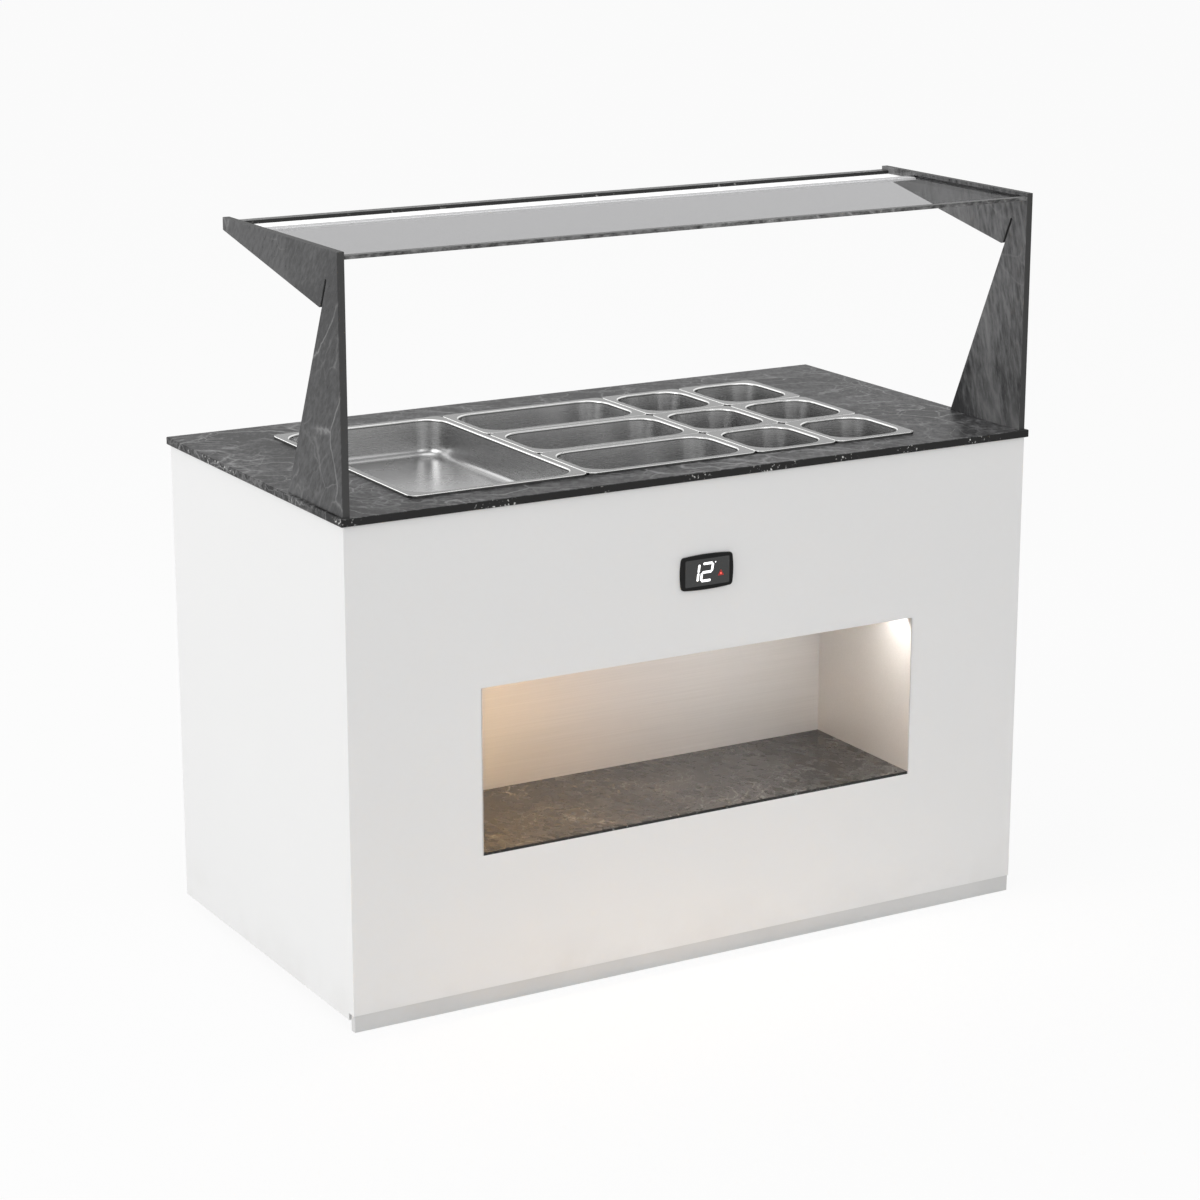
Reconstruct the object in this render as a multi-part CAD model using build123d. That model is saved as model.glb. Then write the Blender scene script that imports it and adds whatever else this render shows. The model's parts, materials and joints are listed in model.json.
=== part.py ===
from build123d import *
import math
import os

# Refrigerated buffet counter, in millimetres.
# X runs to the right, Y to the rear and Z up. The origin is on the floor, under the middle.

# Cabinet
cabinet_width = 1306.0
cabinet_depth = 684.0
worktop_height = 850.0
panel_thickness = 18.0
panel_edge_round = 1.0
front_panel_floor_gap = 30.0
side_panel_floor_gap = 18.0
rear_recess = 36.0
skirting_thickness = 12.0
skirting_recess = 1.0
skirting_floor_gap = 1.5
skirting_end_gap = 2.0
glide_radius = 22.0
glide_foot_radius = 16.0
glide_inset = 60.0
bracket_leg = 36.0
bracket_sheet = 2.0
bracket_length = 60.0
bracket_end_gap = 90.0

# Stone top and the guard that stands on it
slab_thickness = 13.0
slab_overhang = 5.0
stone_arris = 0.8
canopy_height = 410.0
support_thickness = 12.0
arm_length = 428.0
arm_end_height = 21.0
arm_root_drop = 95.0
arm_corner_round = 6.0
leg_foot_depth = 200.0
leg_neck_depth = 60.0
slit_width = 5.0
slit_top_drop = 50.0
dowel_radius = 3.0
dowel_rise = 50.0
dowel_inset = 45.0
bond_gap = 0.1
front_rail_depth = 12.0
rear_rail_depth = 20.0
glass_drop = 6.0
glass_thickness = 6.0
glass_rest = 6.0
glass_groove = 5.0
glass_fit = 0.3
light_width = 105.0
diffuser_thickness = 4.0
diffuser_fit = 0.2
light_trough_width = 34.0
light_trough_height = 9.0
light_sheet = 1.5

# Pans, to the sizes that catering pans share
pan_front_margin = 63.0
pan_rear_margin = 91.0
pan_module_width = 325.0
pan_columns = 3
pan_rows = 3
sixths_across = 2
pan_set_x = -18.0
pan_gap = 1.0
pan_rim_width = 12.5
pan_rim_height = 4.5
pan_rim_corner = 14.0
pan_corner = 42.0
pan_wall = 1.0
pan_draft = 5.0
pan_lip_round = 3.0
pan_rim_round = 1.4
pan_floor_round = 14.0
pan_seat_gap = 0.3
full_pan_depth = 65.0
third_pan_depth = 65.0
sixth_pan_depth = 100.0
bar_width = 14.0
bar_sheet = 1.5
bar_fit = 0.4
bar_lug_depth = 10.0
bar_lug_height = 10.0

# Cold well
pan_seat_width = 10.0
well_corner = 15.0
well_set_back = 1.0
well_depth = 115.0
well_sheet = 1.2
well_flange = 30.0
insulation_thickness = 30.0
coil_tube_radius = 4.75
coil_space = 12.0
coil_run_count = 8
coil_pitch = 60.0
coil_run_length = 800.0
coil_bend_radius = 28.0
coil_riser_radius = 18.0
coil_riser_drop = 22.0
coil_hole_fit = 6.0
drain_offset = 120.0
drain_radius = 16.0
drain_stub = 10.0
valve_radius = 20.0
valve_length = 58.0
valve_boss_radius = 11.0
valve_boss_length = 10.0
spigot_radius = 10.0
spigot_length = 25.0
lever_stem_radius = 4.0
lever_stem_length = 8.0
lever_length = 74.0
lever_width = 14.0
lever_sheet = 3.0
running_gap = 0.05
moving_gap = 0.4
probe_radius = 3.0
probe_length = 40.0
probe_clip = 1.5
probe_height = 14.0
probe_offset = 250.0

# Lit niche in the front
front_feature_x = 4.0
niche_width = 838.0
niche_floor_height = 265.0
niche_opening_height = 278.0
niche_depth = 280.0
niche_headroom = 24.0
niche_sheet = 1.5
niche_flange = 16.0
niche_fit = 0.5
shelf_thickness = 5.0
lamp_width = 18.0
lamp_height = 10.0
lamp_set_back = 6.0

# Temperature display
display_height = 681.0
bezel_width = 102.0
bezel_tall = 60.0
bezel_bow = 2.5
bezel_corner = 6.0
bezel_stand = 5.0
bezel_edge_round = 1.8
window_width = 86.0
window_tall = 46.0
window_corner = 3.0
window_recess = 1.6
window_sunk = 0.4
display_body_width = 84.0
display_body_tall = 42.0
display_body_depth = 36.0

# Rear service door
door_opening_width = 760.0
door_opening_bottom = 110.0
door_opening_height = 490.0
door_gap = 2.0
grille_width = 560.0
grille_height = 330.0
grille_border = 18.0
grille_sheet = 2.0
grille_fit = 0.5
blade_count = 11
blade_width = 24.0
blade_tilt = 40.0
hinge_length = 60.0
hinge_inset = 90.0
hinge_leaf = 26.0
hinge_sheet = 2.0
knuckle_radius = 4.0
hinge_pin_radius = 2.0
pull_span = 110.0
pull_reach = 26.0
pull_radius = 5.0
pull_bend = 12.0
pull_inset = 32.0
catch_width = 16.0
catch_height = 46.0
catch_depth = 14.0

# Switches and the mains inlet on the rear
switch_side_gap = 135.0
switch_height = 430.0
switch_pitch = 30.0
switch_plate_width = 80.0
switch_plate_tall = 60.0
switch_plate_sheet = 3.0
rocker_width = 18.0
rocker_half = 14.0
rocker_rise = 6.0
rocker_dip = 3.5
rocker_keel = 6.0
rocker_tilt = 10.0
rocker_side_gap = 0.5
rocker_end_gap = 1.6
rocker_pin_radius = 1.5
rocker_pin_length = 1.5
switch_box_wall = 2.0
switch_box_depth = 26.0
inlet_height = 250.0
inlet_width = 50.0
inlet_tall = 30.0
inlet_sheet = 3.0
inlet_body_width = 30.0
inlet_body_tall = 22.0
inlet_body_depth = 30.0
inlet_socket_width = 25.0
inlet_socket_tall = 17.0
inlet_socket_depth = 17.0
inlet_pin_width = 2.0
inlet_pin_tall = 4.0
inlet_pin_length = 11.0
inlet_pin_pitch = 7.0
cutout_fit = 0.5

# Cooling machine behind the niche
tray_left = -300.0
tray_right = 316.0
tray_depth = 218.0
tray_rear_gap = 10.0
tray_sheet = 2.0
tray_lip = 12.0
compressor_x = -190.0
compressor_rear_room = 132.0
compressor_radius = 82.0
compressor_height = 172.0
compressor_top_round = 46.0
compressor_foot_round = 24.0
compressor_plate_width = 190.0
compressor_plate_depth = 160.0
compressor_plate_sheet = 4.0
compressor_stub_radius = 6.0
compressor_stub_rise = 18.0
compressor_stub_offset = 22.0
grommet_radius = 12.0
grommet_height = 16.0
grommet_inset = 16.0
stud_radius = 3.0
stud_rise = 28.0
stud_fit = 0.2
condenser_left = 30.0
condenser_width = 260.0
condenser_height = 250.0
condenser_depth = 56.0
condenser_rear_gap = 24.0
condenser_foot = 12.0
fin_count = 27
fin_sheet = 1.0
condenser_run_count = 6
condenser_tube_radius = 4.5
condenser_tail = 26.0
condenser_bend_gap = 1.0
shroud_depth = 40.0
shroud_sheet = 1.5
fan_radius = 102.0
fan_tip_gap = 4.0
fan_hub_radius = 26.0
fan_hub_length = 22.0
fan_blade_count = 5
fan_blade_chord = 62.0
fan_blade_sheet = 2.0
fan_blade_pitch = 26.0
fan_shaft_radius = 4.0
motor_radius = 40.0
motor_length = 46.0
motor_gap = 4.0
motor_stand_width = 56.0
motor_stand_sheet = 4.0
pipe_radius = 5.0
pipe_bend = 25.0
capillary_radius = 2.0
drier_radius = 11.0
drier_length = 90.0
drier_neck = 14.0
suction_level_drop = 76.0
liquid_level_drop = 50.0
electrical_width = 160.0
electrical_depth = 100.0
electrical_height = 110.0
electrical_rear_gap = 16.0
electrical_corner = 6.0
electrical_lid = 3.0

# Length by which a cutting tool passes the face it cuts
cut_past = 5.0

# Places worked out from the sizes above
half_width = cabinet_width / 2
inner_half_width = half_width - panel_thickness
front_face = -cabinet_depth / 2
front_panel_back = front_face + panel_thickness
rear_edge = cabinet_depth / 2
rear_face = rear_edge - rear_recess
rear_panel_inside = rear_face - panel_thickness
slab_bottom = worktop_height - slab_thickness
base_bottom = front_panel_floor_gap
base_top = base_bottom + panel_thickness

canopy_top = worktop_height + canopy_height
support_inside = half_width - support_thickness
glass_top = canopy_top - glass_drop
glass_bottom = glass_top - glass_thickness
arm_end = front_face + arm_length
light_front = arm_end - light_width
light_bottom = glass_bottom - light_trough_height
glass_rear = light_front + glass_rest
glass_front = front_face + front_rail_depth + glass_fit

pan_left = pan_set_x - pan_columns * pan_module_width / 2
pan_front = front_face + pan_front_margin
pan_module_length = cabinet_depth - pan_front_margin - pan_rear_margin
pan_set_y = pan_front + pan_module_length / 2
row_pitch = pan_module_length / pan_rows
sixth_pitch = pan_module_width / sixths_across
pan_rim_bottom = worktop_height + pan_seat_gap
pan_rim_top = pan_rim_bottom + pan_rim_height
cutout_width = pan_columns * pan_module_width - 2 * pan_seat_width
cutout_depth = pan_module_length - 2 * pan_seat_width
column_lines = [pan_left + pan_module_width * number for number in range(1, pan_columns)]
row_lines = [pan_front + row_pitch * number for number in range(1, pan_rows)]

well_width = cutout_width + 2 * well_set_back
well_length = cutout_depth + 2 * well_set_back
well_right = pan_set_x + well_width / 2
well_front = pan_set_y - well_length / 2
well_rear = pan_set_y + well_length / 2
well_floor = slab_bottom - well_depth
well_underside = well_floor - well_sheet
coil_space_bottom = well_underside - coil_space
insulation_bottom = coil_space_bottom - insulation_thickness
drain_y = pan_set_y + drain_offset
valve_top = insulation_bottom - drain_stub
valve_middle = valve_top - valve_length / 2
valve_bottom = valve_top - valve_length

niche_left = front_feature_x - niche_width / 2
niche_right = front_feature_x + niche_width / 2
niche_back = front_face + niche_depth
niche_opening_top = niche_floor_height + niche_opening_height
niche_ceiling = niche_opening_top + niche_headroom
shelf_bottom = niche_floor_height - shelf_thickness
lamp_front = front_panel_back + lamp_set_back

door_left = -door_opening_width / 2
door_right = door_opening_width / 2
door_opening_top = door_opening_bottom + door_opening_height
hinge_x = door_left + door_gap / 2
hinge_y = rear_face + knuckle_radius + moving_gap
hinge_heights = [door_opening_bottom + hinge_inset, door_opening_top - hinge_inset]
grille_bottom = (door_opening_bottom + door_opening_top - grille_height) / 2
switch_x = inner_half_width - switch_side_gap

tray_top = base_top + tray_sheet
tray_rear = rear_panel_inside - tray_rear_gap
tray_front = tray_rear - tray_depth
compressor_y = tray_rear - compressor_rear_room
compressor_plate_bottom = tray_top + grommet_height
compressor_plate_top = compressor_plate_bottom + compressor_plate_sheet
compressor_top = compressor_plate_top + compressor_height
condenser_right = condenser_left + condenser_width
condenser_rear = rear_panel_inside - condenser_rear_gap
condenser_front = condenser_rear - condenser_depth
condenser_middle_y = (condenser_front + condenser_rear) / 2
condenser_bottom = tray_top + condenser_foot
condenser_top = condenser_bottom + condenser_height
condenser_pitch = condenser_height / condenser_run_count
fan_x = (condenser_left + condenser_right) / 2
fan_z = (condenser_bottom + condenser_top) / 2
shroud_front = condenser_front - shroud_depth
fan_opening_radius = fan_radius + fan_tip_gap
fan_middle_y = shroud_front + shroud_sheet / 2
motor_rear = fan_middle_y - fan_hub_length / 2 - motor_gap


def block(left, right, front, rear, bottom, top):
    """Box between two opposite corners."""
    middle = Pos((left + right) / 2, (front + rear) / 2, (bottom + top) / 2)
    return middle * Box(right - left, rear - front, top - bottom)


def upright(x, y, bottom, top, radius):
    """Cylinder that stands along Z."""
    return Pos(x, y, (bottom + top) / 2) * Cylinder(radius, top - bottom)


def along_y(x, z, front, rear, radius):
    """Cylinder that lies along Y."""
    return Pos(x, (front + rear) / 2, z) * Rot(90, 0, 0) * Cylinder(radius, rear - front)


def along_x(y, z, left, right, radius):
    """Cylinder that lies along X."""
    return Pos((left + right) / 2, y, z) * Rot(0, 90, 0) * Cylinder(radius, right - left)


def pipe(points, radius, bend):
    """Round bar swept along straight runs that are joined by arcs."""
    path = FilletPolyline(*points, radius=bend)
    section = Plane(path @ 0, z_dir=path % 0) * Circle(radius)
    return sweep(section, path=path)


def rounded_column(width, length, corner, bottom, top):
    """Upright prism of a rectangle with round corners, about the middle of the pan set."""
    profile = Plane((pan_set_x, pan_set_y, bottom)) * RectangleRounded(width, length, corner)
    return extrude(profile, amount=top - bottom)


def group(solids):
    """Several separate solids that share one node."""
    return Compound(children=list(solids))


# Cabinet

def make_front_panel():
    panel = block(-half_width, half_width, front_face, front_panel_back, front_panel_floor_gap, slab_bottom)
    panel = fillet(panel.edges().filter_by(Axis.Z).group_by(Axis.Y)[0], panel_edge_round)
    side_room = niche_sheet + niche_fit
    niche = block(niche_left - side_room, niche_right + side_room,
                  front_face - cut_past, front_panel_back + cut_past, shelf_bottom, niche_opening_top)
    half_hole = display_body_width / 2 + cutout_fit
    half_tall = display_body_tall / 2 + cutout_fit
    display = block(front_feature_x - half_hole, front_feature_x + half_hole,
                    front_face - cut_past, front_panel_back + cut_past,
                    display_height - half_tall, display_height + half_tall)
    return panel - niche - display


def make_side_panel(side):
    panel = block(inner_half_width, half_width, front_panel_back, rear_edge,
                  side_panel_floor_gap, slab_bottom)
    outer_rear = panel.edges().filter_by(Axis.Z).sort_by_distance((half_width, rear_edge, base_top))[0]
    panel = fillet(outer_rear, panel_edge_round)
    if side < 0:
        panel = mirror(panel, about=Plane.YZ)
    return panel


def make_rear_panel():
    panel = block(-inner_half_width, inner_half_width, rear_panel_inside, rear_face, base_top, slab_bottom)
    past = (rear_panel_inside - cut_past, rear_face + cut_past)
    doorway = block(door_left, door_right, *past, door_opening_bottom, door_opening_top)
    half_hole = switch_box_width() / 2 + cutout_fit
    half_tall = switch_box_tall() / 2 + cutout_fit
    switches = block(switch_x - half_hole, switch_x + half_hole, *past,
                     switch_height - half_tall, switch_height + half_tall)
    half_hole = inlet_body_width / 2 + cutout_fit
    half_tall = inlet_body_tall / 2 + cutout_fit
    inlet = block(switch_x - half_hole, switch_x + half_hole, *past,
                  inlet_height - half_tall, inlet_height + half_tall)
    return panel - doorway - switches - inlet


def make_base_board():
    return block(-inner_half_width, inner_half_width, front_panel_back, rear_face, base_bottom, base_top)


def make_front_skirting():
    end = half_width - skirting_end_gap
    front = front_face + skirting_recess
    strip = block(-end, end, front, front + skirting_thickness, skirting_floor_gap, front_panel_floor_gap)
    return fillet(strip.edges().filter_by(Axis.Z).group_by(Axis.Y)[0], panel_edge_round)


def make_floor_glides():
    glides = []
    across = inner_half_width - glide_inset
    for x in (-across, 0, across):
        for y in (front_panel_back + glide_inset, rear_face - glide_inset):
            foot = Plane((x, y, 0)) * Circle(glide_foot_radius)
            collar = Plane((x, y, base_bottom)) * Circle(glide_radius)
            glides.append(loft([foot, collar]))
    return group(glides)


def make_corner_brackets():
    room = slab_bottom - base_top - 2 * bracket_end_gap - bracket_length
    brackets = []
    for level in range(3):
        bottom = base_top + bracket_end_gap + room * level / 2
        top = bottom + bracket_length
        for side in (-1, 1):
            wall = side * inner_half_width
            for corner, inward in ((front_panel_back, 1), (rear_panel_inside, -1)):
                wing_x = sorted((wall, wall - side * bracket_leg))
                thin_x = sorted((wall, wall - side * bracket_sheet))
                thin_y = sorted((corner, corner + inward * bracket_sheet))
                wing_y = sorted((corner, corner + inward * bracket_leg))
                brackets.append(block(*wing_x, *thin_y, bottom, top) + block(*thin_x, *wing_y, bottom, top))
    return group(brackets)


# Stone top and guard

def dowel_places():
    rear = front_face + leg_foot_depth - dowel_inset
    return [(side * (half_width - support_thickness / 2), y)
            for side in (-1, 1) for y in (front_face + dowel_inset, rear)]


def make_stone_top():
    across = half_width + slab_overhang
    slab = block(-across, across, front_face - slab_overhang, rear_edge + slab_overhang,
                 slab_bottom, worktop_height)
    slab = chamfer(slab.faces().sort_by(Axis.Z)[-1].edges(), stone_arris)
    slab = chamfer(slab.faces().sort_by(Axis.Z)[0].edges(), stone_arris)
    slab -= rounded_column(cutout_width, cutout_depth, well_corner,
                           slab_bottom - cut_past, worktop_height + cut_past)
    for x, y in dowel_places():
        slab -= upright(x, y, slab_bottom - cut_past, worktop_height + cut_past, dowel_radius + bond_gap)
    return slab


def support_outline():
    """Side view of a support: depth from the front against height below the arm's top."""
    foot = Vector(leg_foot_depth, -canopy_height)
    neck = Vector(leg_neck_depth, -arm_root_drop)
    rise = (neck - foot).normalized()
    rearward = Vector(rise.Y, -rise.X)
    outline = Polygon((0, -canopy_height), (0, 0), (arm_length, 0), (arm_length, -arm_end_height),
                      (neck.X, neck.Y), (foot.X, foot.Y), align=None)
    reach = (arm_root_drop - slit_top_drop) / rise.Y
    start = neck + rearward * (slit_width / 2) - rise * (slit_width * 2)
    end = neck + rearward * (slit_width / 2) + rise * reach
    middle = (start + end) * 0.5
    lean = math.degrees(math.atan2(rise.Y, rise.X))
    slit = Pos(middle.X, middle.Y) * Rot(0, 0, lean) * Rectangle((end - start).length, slit_width)
    slit += Pos(end.X, end.Y) * Circle(slit_width / 2)
    outline -= slit
    corner = neck + rearward * slit_width
    nearest = outline.vertices().sort_by_distance((corner.X, corner.Y, 0))[0]
    return fillet(nearest, arm_corner_round)


def make_support(side):
    plane = Plane((support_inside, front_face, canopy_top), x_dir=(0, 1, 0), z_dir=(1, 0, 0))
    plate = extrude(plane * support_outline(), amount=support_thickness, dir=(1, 0, 0))
    plate = chamfer(plate.faces().sort_by(Axis.X)[-1].edges(), stone_arris)
    plate -= block(support_inside - cut_past, support_inside + glass_groove, glass_front - glass_fit,
                   glass_rear + glass_fit, glass_bottom - glass_fit, glass_top + glass_fit)
    for x, y in dowel_places():
        if x > 0:
            plate -= upright(x, y, worktop_height - cut_past, worktop_height + dowel_rise + bond_gap,
                             dowel_radius + bond_gap)
    if side < 0:
        plate = mirror(plate, about=Plane.YZ)
    return plate


def make_support_dowels():
    top = worktop_height + dowel_rise
    return group(upright(x, y, slab_bottom, top, dowel_radius) for x, y in dowel_places())


def make_front_rail():
    return block(-support_inside, support_inside, front_face, front_face + front_rail_depth,
                 glass_bottom, glass_top)


def make_rear_rail():
    return block(-support_inside, support_inside, arm_end - rear_rail_depth, arm_end, glass_bottom, glass_top)


def make_canopy_glass():
    end = support_inside + glass_groove - glass_fit
    return block(-end, end, glass_front, glass_rear, glass_bottom, glass_top)


def make_canopy_light_tray():
    """Trough under the rear rail, with a low front wall that the lit plate lies on."""
    trough_front = arm_end - light_trough_width
    past_end = support_inside + cut_past
    inside_rear = arm_end - light_sheet
    tray = block(-support_inside, support_inside, trough_front, arm_end, light_bottom, glass_bottom)
    tray -= block(-past_end, past_end, trough_front + light_sheet, inside_rear,
                  light_bottom + light_sheet, glass_bottom + cut_past)
    tray -= block(-past_end, past_end, trough_front - cut_past, inside_rear,
                  glass_bottom - diffuser_thickness - diffuser_fit, glass_bottom + cut_past)
    return tray


def make_canopy_light_diffuser():
    """Lit plate between the glass and the rear rail, which carries the rear edge of the glass."""
    end = support_inside - diffuser_fit
    rear = arm_end - light_sheet - diffuser_fit
    return block(-end, end, light_front, rear, glass_bottom - diffuser_thickness, glass_bottom)


# Pans and the cold well

def make_pan(left, front, width, length, depth):
    """Pressed steel pan with a rolled rim, standing on its rim in one cell of the set."""
    x = left + width / 2
    y = front + length / 2
    rim_width = width - pan_gap
    rim_length = length - pan_gap
    mouth_width = rim_width - 2 * pan_rim_width
    mouth_length = rim_length - 2 * pan_rim_width
    rim = extrude(Plane((x, y, pan_rim_bottom)) * RectangleRounded(rim_width, rim_length, pan_rim_corner),
                  amount=pan_rim_height)
    down = Plane((x, y, pan_rim_top), z_dir=(0, 0, -1))
    body_profile = RectangleRounded(mouth_width + 2 * pan_wall, mouth_length + 2 * pan_wall,
                                    pan_corner + pan_wall)
    body = extrude(down * body_profile, amount=depth, taper=pan_draft)
    body = fillet(body.faces().sort_by(Axis.Z)[0].edges(), pan_floor_round + pan_wall)
    hollow = extrude(down * RectangleRounded(mouth_width, mouth_length, pan_corner),
                     amount=depth - pan_wall, taper=pan_draft)
    hollow = fillet(hollow.faces().sort_by(Axis.Z)[0].edges(), pan_floor_round)
    pan = rim + body - hollow
    top_face = pan.faces().sort_by(Axis.Z)[-1]
    pan = fillet(top_face.inner_wires()[0].edges(), pan_lip_round)
    top_face = pan.faces().sort_by(Axis.Z)[-1]
    pan = fillet(top_face.outer_wire().edges(), pan_rim_round)
    under = Plane((x, y, pan_rim_bottom))
    inner_edge = 2 * (pan_wall + pan_lip_round)
    groove = RectangleRounded(rim_width - 2 * pan_wall, rim_length - 2 * pan_wall,
                              pan_rim_corner - pan_wall)
    groove -= RectangleRounded(mouth_width + inner_edge, mouth_length + inner_edge,
                               pan_corner + inner_edge / 2)
    return pan - extrude(under * groove, amount=pan_rim_height - pan_wall - pan_rim_round)


def make_pans():
    full = make_pan(pan_left, pan_front, pan_module_width, pan_module_length, full_pan_depth)
    pans = {"pan_full": full}
    row_names = ("front", "middle", "rear")
    for row, row_name in enumerate(row_names):
        front = pan_front + row * row_pitch
        pans[f"pan_third_{row_name}"] = make_pan(
            pan_left + pan_module_width, front, pan_module_width, row_pitch, third_pan_depth)
        for across, side_name in enumerate(("left", "right")):
            left = pan_left + 2 * pan_module_width + across * sixth_pitch
            pans[f"pan_sixth_{row_name}_{side_name}"] = make_pan(
                left, front, sixth_pitch, row_pitch, sixth_pan_depth)
    return pans


def make_pan_bars():
    """Folded bars that carry the pan rims between the columns and the rows."""
    half = bar_width / 2
    front = pan_set_y - cutout_depth / 2 + bar_fit
    rear = pan_set_y + cutout_depth / 2 - bar_fit
    sheet_top = worktop_height - bar_sheet
    bars = []
    for x in column_lines:
        bar = block(x - half, x + half, front, rear, slab_bottom, worktop_height)
        bar -= block(x - half + bar_sheet, x + half - bar_sheet, front - cut_past, rear + cut_past,
                     slab_bottom - cut_past, sheet_top)
        for y in row_lines:
            bar -= block(x - half - cut_past, x + half + cut_past, y - half - bar_fit, y + half + bar_fit,
                         sheet_top, worktop_height + cut_past)
        bars.append(bar)
    right_end = pan_set_x + cutout_width / 2 - bar_fit
    for y in row_lines:
        for number, x in enumerate(column_lines):
            last = number == len(column_lines) - 1
            left = x + half + bar_fit
            right = right_end if last else column_lines[number + 1] - half - bar_fit
            bar = block(left, right, y - half, y + half, slab_bottom, worktop_height)
            bar -= block(left - cut_past, right + cut_past, y - half + bar_sheet, y + half - bar_sheet,
                         slab_bottom - cut_past, sheet_top)
            tongue_right = right if last else column_lines[number + 1] - bar_fit
            bar += block(x + bar_fit, tongue_right, y - half, y + half, sheet_top, worktop_height)
            bars.append(bar)
    return group(bars)


def make_well_tub():
    """Steel tub with a top flange, a drain stub and the lugs that carry the bars."""
    shell_width = well_width + 2 * well_sheet
    shell_length = well_length + 2 * well_sheet
    shell_corner = well_corner + well_sheet
    tub = rounded_column(shell_width, shell_length, shell_corner, well_underside, slab_bottom)
    tub += rounded_column(well_width + 2 * well_flange, well_length + 2 * well_flange,
                          well_corner + well_flange, slab_bottom - well_sheet, slab_bottom)
    tub -= rounded_column(well_width, well_length, well_corner, well_floor, slab_bottom + cut_past)
    tub += upright(pan_set_x, drain_y, valve_top, well_underside, drain_radius)
    tub -= upright(pan_set_x, drain_y, valve_top - cut_past, well_floor + cut_past,
                   drain_radius - well_sheet)
    half = bar_width / 2
    lug_bottom = slab_bottom - bar_lug_height
    for x in column_lines:
        tub += block(x - half, x + half, well_front, well_front + bar_lug_depth, lug_bottom, slab_bottom)
        tub += block(x - half, x + half, well_rear - bar_lug_depth, well_rear, lug_bottom, slab_bottom)
    for y in row_lines:
        tub += block(well_right - bar_lug_depth, well_right, y - half, y + half, lug_bottom, slab_bottom)
    return tub


def coil_ends():
    """Both ends of the evaporator coil, where its tube turns down."""
    x = pan_set_x - coil_run_length / 2
    reach = coil_pitch * (coil_run_count - 1) / 2
    return (x, pan_set_y - reach), (x, pan_set_y + reach)


def make_well_insulation():
    outer_width = well_width + 2 * (well_sheet + insulation_thickness)
    outer_length = well_length + 2 * (well_sheet + insulation_thickness)
    foam = rounded_column(outer_width, outer_length, well_corner + insulation_thickness,
                          insulation_bottom, slab_bottom - well_sheet)
    foam -= rounded_column(well_width + 2 * well_sheet, well_length + 2 * well_sheet,
                           well_corner + well_sheet, coil_space_bottom, slab_bottom)
    foam -= upright(pan_set_x, drain_y, insulation_bottom - cut_past, coil_space_bottom + cut_past,
                    drain_radius)
    for x, y in coil_ends():
        foam -= upright(x, y, insulation_bottom - cut_past, coil_space_bottom + cut_past,
                        coil_tube_radius + coil_hole_fit)
    return foam


def make_evaporator_coil():
    """Serpentine tube under the tub, with both ends led down through the foam."""
    level = well_underside - coil_tube_radius
    low = insulation_bottom - coil_riser_drop
    (start_x, start_y), (end_x, end_y) = coil_ends()
    turn = coil_bend_radius
    points = [(start_x, start_y, low), (start_x, start_y, level)]
    radii = [coil_riser_radius]
    for number in range(coil_run_count):
        y = start_y + number * coil_pitch
        if number > 0:
            points.append((points[-1][0], y, level))
            radii.append(turn)
        if number < coil_run_count - 1:
            x = start_x + coil_run_length if number % 2 == 0 else start_x + turn + coil_riser_radius
            points.append((x, y, level))
            radii.append(turn)
    points.append((end_x, end_y, level))
    radii.append(coil_riser_radius)
    points.append((end_x, end_y, low))
    return pipe(points, coil_tube_radius, radii)


def make_drain_valve():
    body = upright(pan_set_x, drain_y, valve_bottom, valve_top, valve_radius)
    body = chamfer(body.edges(), valve_radius / 8)
    boss_rear = drain_y + valve_radius + valve_boss_length
    body += along_y(pan_set_x, valve_middle, drain_y, boss_rear, valve_boss_radius)
    body += upright(pan_set_x, drain_y, valve_bottom - spigot_length, valve_bottom, spigot_radius)
    bore = spigot_radius - 2 * well_sheet
    body -= upright(pan_set_x, drain_y, valve_bottom - spigot_length - cut_past,
                    valve_middle - valve_length / 4, bore)
    body -= along_y(pan_set_x, valve_middle, boss_rear - lever_stem_length, boss_rear + cut_past,
                    lever_stem_radius + running_gap)
    return body


def make_drain_lever():
    """Flat lever on a stem: across the pipe when shut."""
    boss_rear = drain_y + valve_radius + valve_boss_length
    front = boss_rear + moving_gap
    stem = along_y(pan_set_x, valve_middle, boss_rear - lever_stem_length + moving_gap, front,
                   lever_stem_radius)
    plate = block(pan_set_x, pan_set_x + lever_length, front, front + lever_sheet,
                  valve_middle - lever_width / 2, valve_middle + lever_width / 2)
    plate = fillet(plate.edges().filter_by(Axis.Y).group_by(Axis.X)[-1], lever_width / 2.2)
    return stem + plate + along_y(pan_set_x, valve_middle, front, front + lever_sheet, valve_boss_radius)


def make_temperature_probe():
    """Sensor bulb in a clip on the tub's rear wall."""
    x = pan_set_x + probe_offset
    z = well_floor + probe_height
    y = well_rear - probe_clip - probe_radius
    bulb = along_x(y, z, x - probe_length / 2, x + probe_length / 2, probe_radius)
    half_clip = probe_length / 5
    clip = block(x - half_clip, x + half_clip, y, well_rear, z - probe_radius, z + probe_radius)
    return bulb + clip


# Niche

def make_niche_liner():
    left = niche_left - niche_sheet
    right = niche_right + niche_sheet
    back = niche_back + niche_sheet
    floor = shelf_bottom - niche_sheet
    roof = niche_ceiling + niche_sheet
    liner = block(left, right, front_panel_back, back, floor, roof)
    liner += block(left - niche_flange, right + niche_flange,
                   front_panel_back, front_panel_back + niche_sheet,
                   floor - niche_flange, roof + niche_flange)
    liner += block(left, right, front_face, front_panel_back, shelf_bottom, niche_opening_top - niche_fit)
    liner -= block(niche_left, niche_right, front_panel_back, niche_back, shelf_bottom, niche_ceiling)
    liner -= block(niche_left, niche_right, front_face - cut_past, front_panel_back + cut_past,
                   shelf_bottom, niche_opening_top + cut_past)
    return liner


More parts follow.
